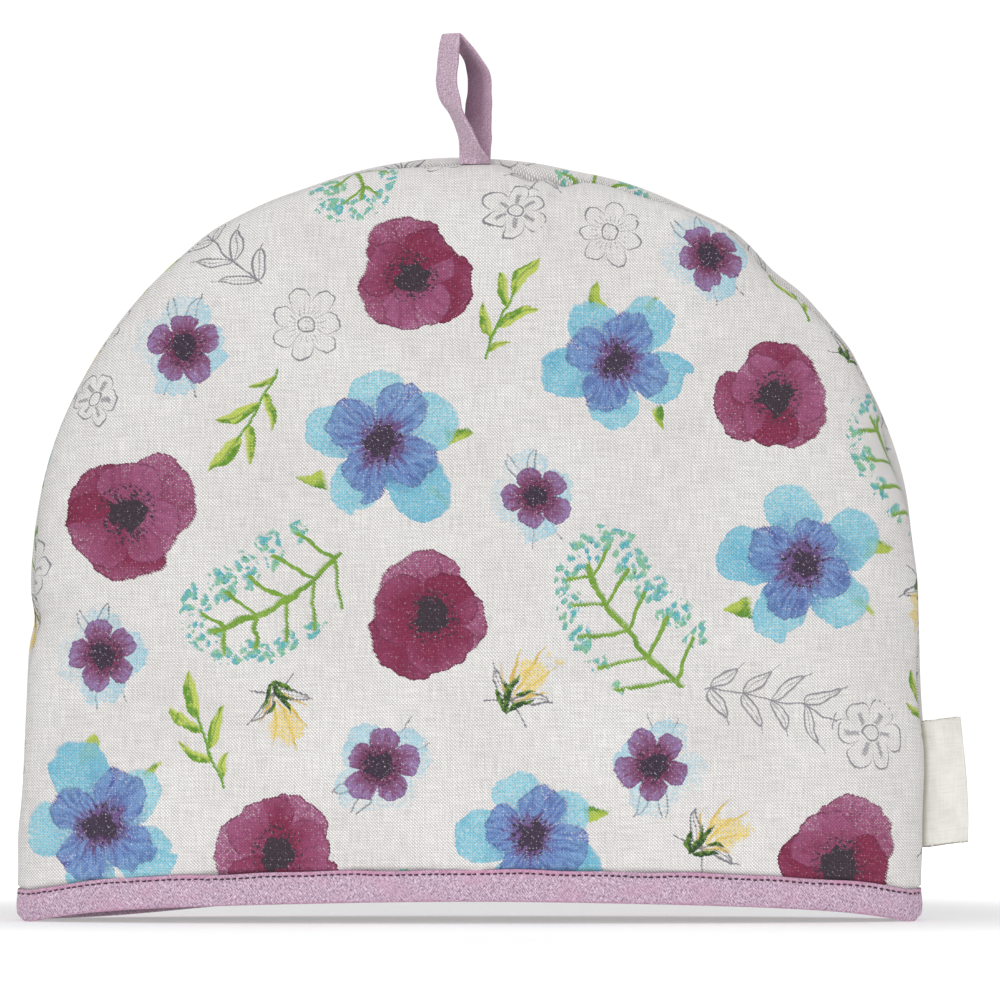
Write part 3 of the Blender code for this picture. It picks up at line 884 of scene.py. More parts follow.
def printed_finish(name, drawing, jagged=0.022, speckled=2.4):
    """Cotton with one motif on it, the ink sitting on the raised threads first."""
    finish, tree, shader = new_finish(name)
    cloth = uv(tree, "cloth")
    woven = use(tree, weave, Cloth=cloth, Groove=0.32, Lift=0.32, Slub=0.18)
    colour = mixed(GROUND, dye(221, 218, 216), grain(cloth, 22.0, 2.0).fade(0.3, 0.75))
    if drawing is not None:
        jag = (woven["Screen"] - 0.5) * jagged
        mottle = grain(cloth, 900.0, 2.0)
        px, py = split(uv(tree, "motif"))
        drawn = use(tree, drawing, Place=(px + jag, py - jag, 0.0), Lot=attribute(tree, "lot"))
        thin = (woven["Screen"] - 0.5) * 1.05 + (mottle - 0.5) * speckled
        inked = (drawn["Cover"] * 1.3 - 0.35 - thin).fade(0.5) * drawn["Cover"].fade(0.02, 0.12)
        colour = mixed(colour, drawn["Ink"], inked)
    # Painted shade of the threads, and a painted shade close to the seam.
    colour = tinted(colour, woven["Shade"] - attribute(tree, "seam") * 0.42)
    cloth_shader(shader, colour, woven["Height"], 0.35)
    return finish


PLAIN_PRINT = printed_finish("printed_cotton_ground", None)
MOTIFS = {
    "sky": (printed_finish("printed_cotton_sky", sky_flower), 1.0),
    "plum": (printed_finish("printed_cotton_plum", plum_flower, speckled=1.8), 1.0),
    "violet": (printed_finish("printed_cotton_violet", violet_flower), 1.0),
    "spray": (printed_finish("printed_cotton_spray", floret_spray), 0.70),
    "sprig": (printed_finish("printed_cotton_sprig", pen_sprig, 0.006, 0.6), 0.46),
    "daisy": (printed_finish("printed_cotton_daisy", pen_daisy, 0.008, 0.6), 1.0),
    "straw": (printed_finish("printed_cotton_straw", straw_tuft), 0.72),
    "stalk": (printed_finish("printed_cotton_stalk", green_stalk), 0.50),
}

lining_finish, tree, shader = new_finish("plain_lining")
cloth = uv(tree, "cloth")
woven = use(tree, weave, Cloth=cloth, Groove=0.16)
tone = mixed(dye(226, 222, 214), dye(216, 211, 202), grain(cloth, 16.0, 3.0))
cloth_shader(shader, tinted(tone, woven["Shade"]), woven["Height"], 0.35)

# Layout of the print on the flat cloth, in millimetres from the middle of the hem: motif,
# across, up, turn in degrees, half its length. The back has the same print, turned over.
LAYOUT = (
    ("sky", 55, 210, 169, 32), ("sky", -33, 179, 70, 36), ("sky", 125, 134, 76, 36),
    ("sky", -138, 36, 160, 36), ("sky", 23, 32, 82, 32), ("plum", -22, 242, 206, 26),
    ("plum", 115, 197, 59, 26), ("plum", -128, 153, 10, 30), ("plum", -14, 114, 209, 27),
    ("plum", -71, 26, 288, 28), ("plum", 138, 21, 42, 29), ("violet", 91, 252, 90, 20),
    ("violet", -107, 216, 61, 21), ("violet", 25, 159, 81, 19), ("violet", -137, 100, 76, 20),
    ("violet", -33, 59, 197, 21), ("violet", 69, 59, 237, 20), ("spray", -49, 294, 285, 31),
    ("spray", 171, 175, 130, 34), ("spray", -76, 123, 209, 34), ("spray", 60, 116, 124, 35),
    ("spray", 85, -13, 354, 35), ("spray", -20, -13, 322, 35), ("sprig", 24, 291, 250, 38),
    ("sprig", -102, 271, 126, 40), ("sprig", -163, 204, 342, 36), ("sprig", -184, 113, 54, 40),
    ("sprig", 125, 77, 342, 41), ("sprig", -122, -14, 207, 34), ("daisy", -11, 300, 70, 16),
    ("daisy", 53, 260, 208, 15), ("daisy", -144, 233, 33, 16), ("daisy", -61, 224, 30, 16),
    ("daisy", -184, 63, 358, 16), ("straw", 151, 223, 57, 18), ("straw", 176, 123, 274, 19),
    ("straw", 21, 90, 56, 19), ("straw", -70, 78, 288, 18), ("straw", 93, 33, 34, 19),
    ("straw", 184, 23, 262, 19), ("straw", -181, -14, 102, 20), ("stalk", 127, 253, 96, 26),
    ("stalk", 16, 230, 63, 24), ("stalk", -85, 188, 238, 25), ("stalk", 180, 80, 129, 22),
    ("stalk", -98, 73, 109, 25), ("stalk", 182, -14, 331, 25),
)
# How far the shade along the seam reaches.
SEAM_SHADE = 0.0022
# The OFBake map holds this much of the cloth across, and the lining at a fifth of its size.
BAKE_SPAN = 0.42


def in_motif(points, across, up, turn, half):
    """Points of the flat cloth as a motif has them, in a disc of radius 1 round its middle."""
    off = points - (across / 1000, up / 1000)
    return np.stack(rotated(off[:, 0], off[:, 1], turn), 1) / (half / 1000)


def lay_print(panel, cover_faces, side, depth, roll, mirror, shift):
    """Give each face of the cover to the motif it lies on, with the place inside that motif."""
    mesh = panel.data
    co = places(mesh)
    flat = flat_cut(side, depth, roll, co) * (mirror, 1) + shift
    corner = corners(mesh)
    start, total = np.empty(len(mesh.polygons), int), np.empty(len(mesh.polygons), int)
    mesh.polygons.foreach_get("loop_start", start)
    mesh.polygons.foreach_get("loop_total", total)
    owner = np.repeat(np.arange(len(total)), total)
    middle = np.add.reduceat(flat[corner], start) / total[:, None]
    nearest = np.full(len(total), 1.0)
    chosen = np.full(len(total), -1)
    for i, (kind, *spot) in enumerate(LAYOUT):
        place = in_motif(middle, *spot)
        away = np.hypot(place[:, 0], place[:, 1] / MOTIFS[kind][1])
        here = away < nearest
        nearest[here], chosen[here] = away[here], i
    chosen[cover_faces:] = -1
    local = np.zeros((len(corner), 2))
    lots = np.zeros(len(total), np.float32)
    slots = np.zeros(len(total), int)
    kinds = list(MOTIFS)
    for i, (kind, *spot) in enumerate(LAYOUT):
        mine = chosen[owner] == i
        local[mine] = in_motif(flat[corner[mine]], *spot)
        lots[chosen == i] = (i * 0.137 + 0.05 * mirror) % 1.0
        slots[chosen == i] = 1 + kinds.index(kind)
    slots[cover_faces:] = 1 + len(kinds)
    mesh.materials.clear()
    for finish in (PLAIN_PRINT, *(finish for finish, width in MOTIFS.values()), lining_finish):
        mesh.materials.append(finish)
    mesh.polygons.foreach_set("material_index", slots)
    mesh.attributes.new("lot", "FLOAT", "FACE").data.foreach_set("value", lots)
    # How near each vertex lies to the seam, for a painted shade along it.
    rim_x, rim_z = edge(ROUND, seam_inset(ROUND))
    rim = stand(rim_x, 0 * rim_x, rim_z, side)
    rim_tree = KDTree(len(rim))
    for i, point in enumerate(rim):
        rim_tree.insert(point, i)
    rim_tree.balance()
    near = np.array([rim_tree.find(point)[2] for point in co])
    mesh.attributes.new("seam", "FLOAT", "POINT").data.foreach_set("value", np.exp(-near / SEAM_SHADE))
    bake = (flat * (mirror, 1) / BAKE_SPAN + (0.5, 0.02))[corner]
    inner = owner >= cover_faces
    bake[inner] = (co[corner[inner]][:, (0, 2)] / BAKE_SPAN + (0.5, 0.0)) * 0.2 + (0.0, 0.79)
    for old in list(mesh.uv_layers):
        mesh.uv_layers.remove(old)
    corner_map(mesh, "cloth", per_vertex=flat)
    corner_map(mesh, "motif", per_corner=local)
    corner_map(mesh, "OFBake", per_corner=np.clip(bake, 0.001, 0.999))


front, cover_faces = sewn_panel("cosy_front", *FRONT, FRONT_CREASES, 0.0)
lay_print(front, cover_faces, *FRONT, 1, (0.0, 0.0))
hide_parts("front_panel")
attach(front, "root")

# ---- Back panel ----------------------------------------------------------------------------
# Made as the front one, from the same print, but fuller: its edge rolls over towards the
# front, and shows all round the dome behind the seam.

back, cover_faces = sewn_panel("cosy_back", *BACK, BACK_CREASES, 0.043)
lay_print(back, cover_faces, *BACK, -1, (0.004, 0.006))
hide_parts("back_panel")
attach(back, "root")

# ---- Hem binding ---------------------------------------------------------------------------
# A bias strip of mauve cotton folded round the raw lower edge of both panels. It runs right
# round the opening, and its lower fold is what the cosy stands on.

BINDING_STEPS = 1320
MAUVE = dye(202, 174, 195)
MAUVE_DARK = dye(146, 106, 136)
MAUVE_PALE = dye(232, 214, 228)


def hem_wall(inner):
    """A wall of the whole hem, round the front and then back along the back."""
    halves = []
    for panel, order in ((FRONT, 1), (BACK, -1)):
        line = hem_line(*panel, inner, BINDING_STEPS // 2)[::order]
        halves.append(line if inner else gripped(line, *panel))
    return np.concatenate(halves)


def outward(line):
    """Level outward normals of the closed hem line, smoothed a little round its two ends."""
    step = np.roll(line, -1, axis=0) - np.roll(line, 1, axis=0)
    normal = np.stack([step[:, 1], -step[:, 0]], 1)
    for _ in range(6):
        normal = (np.roll(normal, 1, axis=0) + 2 * normal + np.roll(normal, -1, axis=0)) / 4
    normal /= np.hypot(*normal.T)[:, None]
    away = ((line - line.mean(axis=0)) * normal).sum(1)
    return normal * (1 if away.sum() > 0 else -1)


outer_wall, inner_wall = hem_wall(False), hem_wall(True)
out_normal, in_normal = outward(outer_wall), outward(inner_wall)
hem_way = way_along(outer_wall)
HEM_LENGTH = hem_way[-1] + np.hypot(*(outer_wall[0] - outer_wall[-1]))
side_of = np.repeat((-1, 1), BINDING_STEPS // 2)
low_out = hem_low(outer_wall[:, 0] - CENTRE_X, side_of)
low_in = hem_low(inner_wall[:, 0] - CENTRE_X, side_of)
wave = np.sin(2 * pi * hem_way / 0.071) + 0.7 * np.sin(2 * pi * hem_way / 0.0317 + 1.9)
top = hem_lift(outer_wall[:, 0] - CENTRE_X, side_of) + BINDING_HEIGHT + 0.00022 * wave
STITCH_PITCH = 0.00242
pinch = np.cos(2 * pi * hem_way / STITCH_PITCH)
ripple = np.sin(2 * pi * hem_way / 0.0083 + 1.4 * np.sin(hem_way / 0.017))
full = 0.00018 * ripple + 0.00012 * np.sin(2 * pi * hem_way / 0.047)

# Up the outside from the lower fold: share of the height, how far out the cloth stands in
# thicknesses, and its share of the puffiness. The inside is its mirror image.
OUTSIDE = (
    (0.00, 0.50, 0.0), (0.035, 0.84, 0.0), (0.09, 0.98, 0.2), (0.20, 1.08, 0.8), (0.32, 1.14, 1.0),
    (0.46, 1.16, 1.0), (0.60, 1.10, 0.8), (0.72, 0.98, 0.4), (0.80, 0.84, 0.0), (0.845, 0.70, 0.0),
    (0.865, 0.66, 0.0), (0.885, 0.72, 0.0), (0.925, 0.86, 0.0), (0.97, 0.84, 0.0), (1.00, 0.55, 0.0),
)
STITCH_LINE = 0.865
UNDER_TOP = 0.0003
rings = []


def add_ring(wall, normal, off, height):
    """One line of the binding's section, right round the hem."""
    rings.append(np.column_stack([wall + normal * off[:, None], height]))


flush = CLEARANCE * np.ones(BINDING_STEPS)
for share, stand_off, puff in OUTSIDE:
    stitch_dent = 0.00013 * pinch * float(bell(share, STITCH_LINE, 0.06))
    off = flush + BINDING_THICK * stand_off + puff * full + stitch_dent
    add_ring(outer_wall, out_normal, off, low_out + (top - low_out) * share)
add_ring(outer_wall, out_normal, flush, top - UNDER_TOP)
add_ring(outer_wall, out_normal, flush, low_out + BINDING_THICK)
add_ring(inner_wall, in_normal, -flush, low_in + BINDING_THICK)
add_ring(inner_wall, in_normal, -flush, top - UNDER_TOP)
for share, stand_off, puff in reversed(OUTSIDE):
    off = flush + BINDING_THICK * stand_off + puff * full * 0.6
    add_ring(inner_wall, in_normal, -off, low_in + (top - low_in) * share)


def girth_of(ring, last):
    """How far round a ring each of its points lies, the last step back to the first included."""
    way = way_along(ring)
    return np.append(way, way[-1] + last)


def laid_in_rings(name, rings, cloth, joined=False, turns=None):
    """A grid of cloth laid into the rings of a strip: a tube closed at both ends, or joined end
    to end. cloth gives its flat place from the numbers of the ring and of the point in it."""
    steps, count = len(rings) if joined else len(rings) - 1, len(rings[0])
    strip, mesh, u, v = cloth_grid(name, steps, count)
    u, v = np.rint(u * steps).astype(int), np.rint(v * count).astype(int)
    mesh.vertices.foreach_set("co", rings[u % len(rings), v % count].ravel())
    corner_map(mesh, "cloth", per_vertex=np.stack(cloth(u, v), 1))
    bake = [u / steps if turns is None else turns(u), v / count]
    corner_map(mesh, "OFBake", per_vertex=np.stack(bake, 1))
    bpy.ops.object.mode_set(mode="EDIT")
    bpy.ops.mesh.select_all(action="SELECT")
    bpy.ops.mesh.remove_doubles(threshold=0.000001)
    if not joined:
        bpy.ops.mesh.select_mode(type="EDGE")
        bpy.ops.mesh.select_all(action="DESELECT")
        bpy.ops.mesh.select_non_manifold()
        bpy.ops.mesh.edge_face_add()
        bpy.ops.mesh.select_all(action="SELECT")
    bpy.ops.mesh.normals_make_consistent(inside=False)
    bpy.ops.object.mode_set(mode="OBJECT")
    bpy.ops.object.shade_smooth()
    return strip


rings = np.array(rings).transpose(1, 0, 2)
girth = girth_of(rings[0], 0.001)
strip_way = np.append(hem_way, HEM_LENGTH)
binding = laid_in_rings(
    "cosy_binding", rings, lambda u, v: (strip_way[u], girth[v]), joined=True,
    turns=lambda u: strip_way[u] / HEM_LENGTH * 3 % 1.0,
)


def mauve_finish(name, rims):
    """Mauve cotton cut on the bias: its threads run across the strip at an angle. Along each rim, given by
    its place, half width, strength and colour, a colour is laid over the cloth: bands that are partly
    stronger dye and partly painted shade, or thin painted shadow lines."""
    finish, tree, shader = new_finish(name)
    cx, cy = split(uv(tree, "cloth"))
    bx, by = rotated(cx, cy, 45)
    woven = use(tree, weave, Cloth=(bx, by, 0.0), Thread=0.00072, Groove=0.34, Lift=0.0, Slub=0.20)
    flecks = grain((bx * 2700.0, by * 900.0, 0.0), 1.0, 1.0)
    cross = grain((bx * 900.0, by * 2700.0, 3.0), 1.0, 1.0)
    colour = mixed(MAUVE, MAUVE_PALE, (flecks - 0.52).fade(0.08) * 0.95)
    colour = mixed(colour, MAUVE_DARK, (0.48 - cross).fade(0.08) * 0.80)
    patch = grain((cx * 60.0, cy * 160.0, 0.0), 1.0, 3.0)
    colour = mixed(colour, dye(206, 162, 188), (patch - 0.48).fade(0.2) * 0.45)
    uneven = (patch * 2.2 - 0.45).held()
    for at, half, strength, pink in rims:
        colour = mixed(colour, pink, (half - (cy - at).abs()).fade(0.0003) * uneven * strength)
    cloth_shader(shader, tinted(colour, woven["Shade"]), woven["Height"], 0.45)
    return finish


# Pinker bands along the rims, partly a stronger dye and partly painted shade, and a thin painted shadow line
# along the top edge, outside and inside.
RIM_PINK_DYE_AND_SHADE, EDGE_SHADOW_LINE = dye(206, 142, 176), dye(96, 58, 80)
out_top = float(girth[len(OUTSIDE) - 1])
in_top = float(girth[len(OUTSIDE) + 3])
binding.data.materials.clear()
binding.data.materials.append(mauve_finish("binding_cotton", (
    (out_top - 0.0009, 0.0010, 0.62, RIM_PINK_DYE_AND_SHADE), (in_top + 0.0009, 0.0010, 0.62, RIM_PINK_DYE_AND_SHADE),
    (0.0, 0.0010, 0.40, RIM_PINK_DYE_AND_SHADE), (out_top, 0.00030, 1.0, EDGE_SHADOW_LINE), (in_top, 0.00030, 1.0, EDGE_SHADOW_LINE),
)))
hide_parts("hem_binding")
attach(binding, "root")

# ---- Topstitch -----------------------------------------------------------------------------
# A row of dark plum machine stitches just under the binding's top edge, through all layers,
# so it shows outside and inside. Each stitch dips into the cloth at its two ends.

STITCH_LONG = 0.00128
STITCH_THICK = 0.00080
STITCH_DOWN = 0.00165
# The slope of the cloth is taken this far to either side of a stitch.
STITCH_REACH = 0.001


def one_stitch():
    """A short thread with rounded ends, lying along X."""
    bpy.ops.mesh.primitive_cylinder_add(
        vertices=6, radius=STITCH_THICK / 2, depth=STITCH_LONG, rotation=(0, pi / 2, 0),
    )
    stitch = bpy.context.object
    bpy.ops.object.transform_apply(location=True, rotation=True, scale=True)
    bpy.ops.object.mode_set(mode="EDIT")
    bpy.ops.mesh.select_mode(type="FACE")
    bpy.ops.mesh.select_all(action="DESELECT")
    bpy.ops.object.mode_set(mode="OBJECT")
    for poly in stitch.data.polygons:
        poly.select = abs(poly.normal.x) > 0.9
    bpy.ops.object.mode_set(mode="EDIT")
    bpy.ops.mesh.inset(thickness=STITCH_THICK * 0.2, depth=STITCH_THICK * 0.3)
    bpy.ops.object.mode_set(mode="OBJECT")
    for vert in stitch.data.vertices:
        vert.co.z -= STITCH_THICK * 0.45 * (abs(vert.co.x) / (STITCH_LONG / 2)) ** 2
    return stitch


def stitch_row(name, wall, normal, off, height, seed):
    """Copies of one stitch set along the hem, as one piece."""
    way = way_along(wall)
    count = int(way[-1] / STITCH_PITCH)
    model = one_stitch()
    verts = places(model.data)
    faces = [tuple(p.vertices) for p in model.data.polygons]
    drift = np.random.default_rng(seed)
    points, polys = [], []
    for i in range(count):
        at = (i + 0.5) * way[-1] / count + drift.normal(0, 0.00012)
        spot = [np.interp(at, way, wall[:, k]) for k in (0, 1)]
        out = np.array([np.interp(at, way, normal[:, k]) for k in (0, 1)] + [0.0])
        out /= np.linalg.norm(out)
        level = np.interp(at, way, height) + drift.normal(0, 0.00008)
        ends = (at - STITCH_REACH, at + STITCH_REACH)
        climb, ahead = (np.diff(np.interp(ends, way, line))[0] for line in (height, wall[:, 0]))
        run = np.array([-out[1], out[0], 0.0])
        run *= 1 if ahead * run[0] >= 0 else -1
        run[2] = climb / (2 * STITCH_REACH)
        run /= np.linalg.norm(run)
        side = np.cross(out, run)
        polys += [tuple(k + len(points) for k in face) for face in faces]
        points += list(np.array([*spot, level]) + out * off + verts @ (run, side, out))
    model.data.clear_geometry()
    model.data.from_pydata(points, [], polys)
    model.name = model.data.name = name
    only(model)
    bpy.ops.object.mode_set(mode="EDIT")
    bpy.ops.mesh.select_all(action="SELECT")
    bpy.ops.mesh.normals_make_consistent(inside=False)
    bpy.ops.object.mode_set(mode="OBJECT")
    bpy.ops.object.shade_smooth()
    return model


thread_finish, tree, shader = new_finish("plum_thread")
spot = tree.nodes.new("ShaderNodeTexCoord")
twist = grain(Strand(spot.outputs["Object"]), 5200.0, 1.0)
colour = mixed(dye(38, 10, 30), dye(74, 32, 58), twist.fade(0.42, 0.72))
feed_all(shader, Base_Color=colour, Roughness=0.55, Sheen_Weight=0.2)

stitch_off = CLEARANCE + BINDING_THICK * 0.70 + STITCH_THICK * 0.36
for name, wall, normal, seed in (
    ("hem_stitches_outside", outer_wall, out_normal, 3),
    ("hem_stitches_inside", inner_wall, -in_normal, 4),
):
    row = stitch_row(name, wall, normal, stitch_off, top - STITCH_DOWN, seed)
    row.data.materials.append(thread_finish)
    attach(row, "root")

# ---- Hanging loop --------------------------------------------------------------------------
# A tape of the same mauve cotton, its raw edges folded in and stitched down one side. It rises
# from the seam at the top, folds over, and comes down behind its own foot with a half turn.

TAPE_WIDTH = 0.0113
TAPE_THICK = 0.0015
# Across from the dome's middle, towards the back, above the seam (mm), and the turn of its
# width from facing the front (0) to edge-on (90).
LOOP = (
    (2.2, -2.6, 0.0, 0), (1.5, -3.6, 2.6, 22), (0.3, -5.0, 6.0, 46), (-1.6, -5.6, 12.0, 61),
    (-4.9, -5.2, 19.0, 66), (-7.0, -4.2, 23.5, 51), (-8.6, -3.2, 30.3, 48), (-8.1, -2.7, 37.5, 48),
    (-7.5, -2.2, 44.4, 50), (-7.0, -1.2, 47.5, 52), (-6.6, -0.3, 48.3, 54), (-4.9, 0.8, 46.7, 57),
    (-1.0, 1.6, 42.6, 60), (1.8, 1.8, 38.2, 55), (3.6, 1.8, 33.2, 42), (3.8, 1.6, 27.5, 38),
    (3.3, 1.4, 19.0, 28), (2.8, 0.9, 10.0, 14), (2.2, -0.6, 0.0, 0),
)
TAPE_STEPS = 10


def smooth_rows(rows, steps):
    """Rows in between those of a table, on a smooth curve through them."""
    table = np.array(rows, float)
    padded = np.vstack((2 * table[0] - table[1], table, 2 * table[-1] - table[-2]))
    result = []
    for i in range(len(table) - 1):
        a, b, c, d = padded[i:i + 4]
        for t in np.arange(steps) / steps:
            bend = (2 * a - 5 * b + 4 * c - d) * t**2 + (3 * b - a - 3 * c + d) * t**3
            result.append(0.5 * (2 * b + (c - a) * t + bend))
    return np.array(result + [table[-1]])


# Round the tape: share of its half width and of its half thickness. The folded edge is round,
# the other shows the slit between its two layers.
TAPE_SECTION = (
    (-1.00, 0.05), (-0.985, -0.50), (-0.93, -0.92), (-0.80, -1.00), (-0.72, -0.90), (-0.64, -1.00),
    (-0.30, -1.04), (0.30, -1.04), (0.64, -1.00), (0.80, -0.98), (0.93, -0.94), (0.985, -0.55),
    (1.00, -0.10), (0.975, 0.00), (1.00, 0.10), (0.985, 0.55), (0.93, 0.94), (0.80, 0.98),
    (0.64, 1.00), (0.30, 1.04), (-0.30, 1.04), (-0.64, 1.00), (-0.72, 0.90), (-0.80, 1.00),
    (-0.93, 0.92), (-0.985, 0.55),
)
LAST_STEP = 0.0004
seam_top = float(edge(0.5, float(skin_inset(-1, np.array(0.5), False)))[1]) + CLEARANCE
rows = smooth_rows(LOOP, TAPE_STEPS)
course = rows[:, :3] / 1000 + (CENTRE_X, SEAM_Y, seam_top)
tape_way = way_along(course)
section = np.array(TAPE_SECTION) * (TAPE_WIDTH / 2, TAPE_THICK / 2)
section_way = girth_of(section, LAST_STEP)
rings = []
for i, (point, row) in enumerate(zip(course, rows)):
    run = course[min(i + 1, len(course) - 1)] - course[max(i - 1, 0)]
    if i in (0, len(course) - 1):
        run = np.array([0.0, 0.0, 1.0 if i == 0 else -1.0])
    run /= np.linalg.norm(run)
    turn = radians(row[3])
    wide = np.array([cos(turn), -sin(turn), 0.0])
    face = np.cross(run, wide)
    face /= np.linalg.norm(face)
    way = tape_way[i]
    soft = 1 + 0.02 * sin(2 * pi * way / 0.0131) + 0.012 * sin(2 * pi * way / 0.0067 + 1)
    rings.append([point + wide * across * soft + face * out for across, out in section])
loop = laid_in_rings("hanging_tape", np.array(rings), lambda u, v: (tape_way[u], section_way[v]))

tape_finish, tree, shader = new_finish("loop_tape")
cx, cy = split(uv(tree, "cloth"))
bx, by = rotated(cx, cy, 40)
woven = use(tree, weave, Cloth=(bx, by, 0.0), Thread=0.00055, Groove=0.24, Lift=0.10, Slub=0.16)
flecks = grain((bx * 3200.0, by * 1100.0, 0.0), 1.0, 1.0)
colour = mixed(dye(204, 176, 194), MAUVE_PALE, (flecks - 0.5).fade(0.1) * 0.75)
colour = mixed(colour, dye(168, 128, 154), (0.5 - flecks).fade(0.1) * 0.6)
tape_edge = float(section_way[4])
sew = (0.00022 - (cy - tape_edge).abs()).fade(0.00012) * (0.72 - (cx / 0.0026).fract()).fade(0.05)
colour = mixed(colour, dye(160, 118, 146), sew * 0.5)
# Painted shade: its back is darker, most of all where it comes down behind its own foot.
past_slit = cy - float(section_way[13])
back_face_shade = past_slit.fade(-0.0002, 0.0002)
leg_shade = (cx - float(tape_way[11 * TAPE_STEPS])).fade(0.012)
leg_shade = leg_shade * ((float(tape_way[17 * TAPE_STEPS]) - cx).fade(0.010) * 0.6 + 0.4)
off_border = (past_slit - 0.0016).fade(0.0035)
colour = mixed(colour, dye(158, 118, 144), back_face_shade * 0.45)
colour = mixed(colour, dye(112, 76, 100), back_face_shade * leg_shade * off_border * 0.60)
cloth_shader(shader, tinted(colour, woven["Shade"]), woven["Height"] - sew * 0.6, 0.5)
loop.data.materials.clear()
loop.data.materials.append(tape_finish)
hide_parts("hanging_loop")
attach(loop, "root")

# ---- Side label ----------------------------------------------------------------------------
# A strip of cream woven tape, folded once and caught in the side seam. Its two cut edges have
# frayed a little, and nothing is printed on it.

LABEL_LAYER = 0.0009
LABEL_SLIT = 0.0004
LABEL_LOW = 0.0275
LABEL_HIGH = 0.0745
LABEL_SINK = 0.75
LABEL_TUCK = 0.0013
# Share of the height, reach of the fold past the seam, lean towards the back, slant upwards.
LABEL = (
    (0.0, 0.0169, -0.0012, 0.0024), (0.2, 0.0170, -0.0006, 0.0023), (0.4, 0.0163, 0.0000, 0.0022),
    (0.6, 0.0153, 0.0003, 0.0021), (0.8, 0.0145, 0.0002, 0.0020), (1.0, 0.0145, -0.0003, 0.0020),
)
LABEL_ROWS = 14
LABEL_COLUMNS = 64
# The cut edges are pinked: the pitch of their small teeth, and their height below and above.
TOOTH = 0.00135
TEETH_HIGH = (0.00075, 0.00045)
FRAYED = 0.00012
rows = smooth_rows(LABEL, LABEL_ROWS)
half_round = ROUND[: len(ROUND) // 2]
heights = edge(half_round, 0.0)[1]
frays = np.random.default_rng(8).uniform(-FRAYED, FRAYED, (2, 4 * LABEL_COLUMNS))
columns = [k / LABEL_COLUMNS for k in range(LABEL_COLUMNS + 1)]
slit, thick = LABEL_SLIT / 2, LABEL_LAYER / 2
rings = []
for i, (up, reach, back, slant) in enumerate(rows):
    z = LABEL_LOW + (LABEL_HIGH - LABEL_LOW) * up
    round_ = float(np.interp(z, heights, half_round))
    root = float(edge(round_, LABEL_SINK * float(skin_inset(-1, np.array(round_), False)))[0])
    root = root + CLEARANCE - LABEL_TUCK
    reach += LABEL_TUCK
    outer = [(root + (reach - thick) * share, slit + thick) for share in columns]
    inner = [(root + (reach - 2.4 * thick) * share, slit) for share in columns]
    outer += [
        (root + reach - thick * (1 - sin(turn)), (slit + thick) * cos(turn))
        for turn in (pi / 8, pi / 4, pi * 3 / 8, pi / 2)
    ]
    line = outer + [(x, -y) for x, y in outer[-2::-1] + inner] + inner[::-1]
    ring = []
    for n, (x, y) in enumerate(line):
        share = (x - root) / reach
        sag = 0.0004 * sin(2 * pi * up * 1.3 + 0.6) * share + 0.00022 * sin(9.0 * share + 5 * up) * share
        rag = 0.0
        if i in (0, len(rows) - 1):
            end = 0 if i == 0 else 1
            tooth = abs(((x - root) / TOOTH + 0.3 * end) % 1.0 * 2 - 1)
            rag = frays[end][n % (4 * LABEL_COLUMNS)] + TEETH_HIGH[end] * (tooth - 0.5)
        ring.append((CENTRE_X + x, SEAM_Y - y + back * share + sag, z + slant * share + rag))
    rings.append(ring)
rings = np.array(rings)
around = girth_of(rings[0], LAST_STEP)
up_way = (LABEL_HIGH - LABEL_LOW) * np.arange(len(rings)) / (len(rings) - 1)
label = laid_in_rings("side_tape_label", rings, lambda u, v: (around[v], up_way[u]))
bpy.ops.object.shade_smooth_by_angle(angle=radians(45))

label_finish, tree, shader = new_finish("label_tape")
cloth = uv(tree, "cloth")
woven = use(tree, weave, Cloth=cloth, Thread=0.00042, Groove=0.12, Lift=0.04, Slub=0.10)
tone = mixed(dye(236, 235, 228), dye(226, 224, 216), grain(cloth, 70.0, 3.0).fade(0.35, 0.7))
round_label, up_label = split(cloth)
to_seam = round_label.least(float(around[2 * LABEL_COLUMNS + 8]) - round_label)
# Painted shade: darker where the label goes into the seam.
tone = mixed(tone, dye(160, 153, 134), (0.0050 - to_seam).fade(0.0042) * 0.80)
# A little darker along its two cut ends.
to_end = up_label.least(LABEL_HIGH - LABEL_LOW - up_label)
ends = (0.0012 - to_end).fade(0.0010)
tone = mixed(tone, dye(214, 209, 196), ends * 0.40)
cloth_shader(shader, tinted(tone, woven["Shade"]), woven["Height"], 0.3, rough=0.8)
label.data.materials.clear()
label.data.materials.append(label_finish)
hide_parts("side_label")
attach(label, "root")

# ---- Table, light and camera -----------------------------------------------------------------
# A plain pale table top, large soft lamps on the left, on the right and behind, and an even
# white sky. The camera stands square on to the front, far away, level with its middle.

WHITE = (1.0, 1.0, 1.0, 1.0)


def either_shader(tree, share, first, second, output):
    """Send one shader or the other to the output, by a share."""
    either = tree.nodes.new("ShaderNodeMixShader")
    for source, socket in zip((share, first.outputs[0], second.outputs[0]), either.inputs):
        tree.links.new(source, socket)
    tree.links.new(either.outputs[0], tree.nodes[output].inputs["Surface"])


bpy.ops.mesh.primitive_circle_add(vertices=96, radius=14.0, fill_type="NGON", location=(0, 0, 0))
table = bpy.context.object
table.name = table.data.name = "table_top"
bpy.ops.object.transform_apply(location=True, rotation=True, scale=True)
table_finish, tree, shader = new_finish("table_white")
spot = Strand(tree.nodes.new("ShaderNodeTexCoord").outputs["Object"])
seen = Strand(tree.nodes.new("ShaderNodeLightPath").outputs["Is Camera Ray"])
far_x, far_y = split(spot)
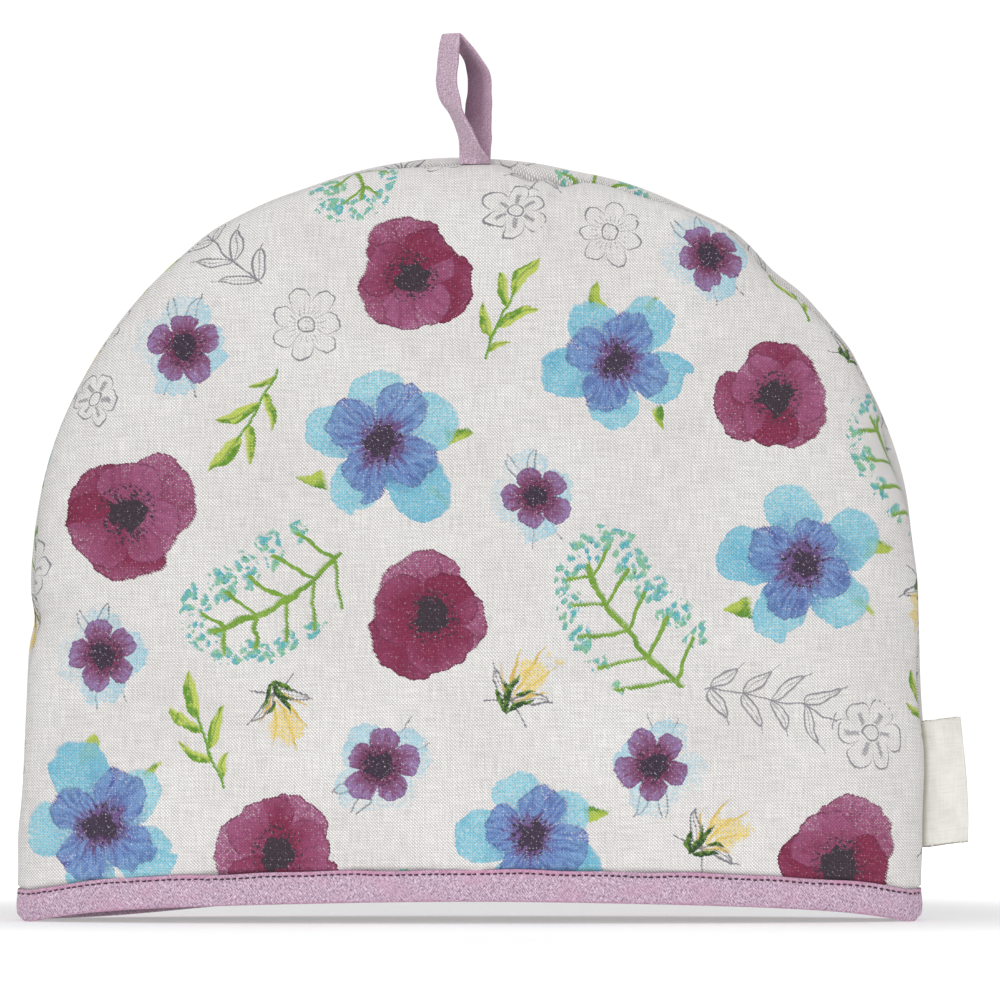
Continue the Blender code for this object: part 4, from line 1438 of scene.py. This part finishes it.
# Painted glow: seen by the camera, the table top glows more the farther it lies from the cosy, so that far
# off it runs over into the white of the room.
painted_glow = (far_x * far_x + far_y * far_y).fade(0.018, 0.14) * seen
feed_all(
    shader, Base_Color=mixed((0.93, 0.93, 0.93, 1.0), (0.90, 0.90, 0.90, 1.0), grain(spot, 3.0, 3.0)),
    Roughness=0.9, Specular_IOR_Level=0.1, Emission_Color=(painted_glow, painted_glow, painted_glow), Emission_Strength=0.62,
)
# Seen from below, the table top isn't there, so that the inside of the cosy shows.
from_below = tree.nodes.new("ShaderNodeNewGeometry").outputs["Backfacing"]
either_shader(tree, from_below, shader, tree.nodes.new("ShaderNodeBsdfTransparent"), "Material Output")
table.data.materials.append(table_finish)

world = bpy.data.worlds.new("white_room")
bpy.context.scene.world = world
world.use_nodes = True
room = world.node_tree
sky = feed_all(room.nodes["Background"], Color=WHITE, Strength=0.52)
open_white = feed_all(room.nodes.new("ShaderNodeBackground"), Color=WHITE, Strength=1.05)
seen = room.nodes.new("ShaderNodeLightPath").outputs["Is Camera Ray"]
either_shader(room, seen, sky, open_white, "World Output")

# The three large lamps leave the table out. Two more light the table alone and throw no shadow:
# one high up, which keeps the shade under the cosy a light grey, and a thin one low in front,
# which lets that shade fade out towards the front.
reach = {}
for name, state in (("table_alone", "INCLUDE"), ("all_but_table", "EXCLUDE")):
    reach[name] = bpy.data.collections.new(name)
    reach[name].objects.link(table)
    reach[name].collection_objects[0].light_linking.link_state = state
for name, power, size, spot, reaches in (
    ("soft_left", 38.0, 1.8, (-1.3, -2.2, 2.1), "all_but_table"),
    ("soft_right", 21.4, 2.2, (1.7, -2.4, 1.2), "all_but_table"),
    ("soft_back", 28.0, 2.0, (-0.6, 2.8, 1.7), "all_but_table"),
    ("table_high", 11.8, 1.0, (CENTRE_X, 0.0, 2.0), "table_alone"),
    ("table_low", 0.15, 0.5, (CENTRE_X, -0.14, 0.14), "table_alone"),
):
    bpy.ops.object.light_add(type="AREA", location=spot)
    lamp = bpy.context.object
    lamp.name = name
    lamp.data.energy, lamp.data.size = power, size
    to_table = reaches == "table_alone"
    aim = Vector((0.0, 0.0, -1.0)) if to_table else Vector((CENTRE_X, 0.0, 0.14)) - Vector(spot)
    lamp.rotation_euler = aim.to_track_quat("-Z", "Y").to_euler()
    lamp.data.use_shadow = not to_table
    lamp.visible_camera = False
    if name == "table_low":
        lamp.data.shape, lamp.data.size_y = "RECTANGLE", 0.02
    lamp.light_linking.receiver_collection = reach[reaches]

VIEW_WIDTH = 0.3757
VIEW_AWAY = 4.0
VIEW_X, VIEW_Z = 0.00346, 0.1578
FRONT_Y = -0.002
bpy.ops.object.camera_add(location=(VIEW_X, FRONT_Y - VIEW_AWAY, VIEW_Z), rotation=(pi / 2, 0, 0))
camera = bpy.context.object
camera.data.sensor_width = 36.0
camera.data.lens = camera.data.sensor_width * VIEW_AWAY / VIEW_WIDTH
camera.data.clip_start, camera.data.clip_end = 0.1, 60.0
bpy.context.scene.camera = camera
bpy.context.scene.view_settings.view_transform = "Standard"
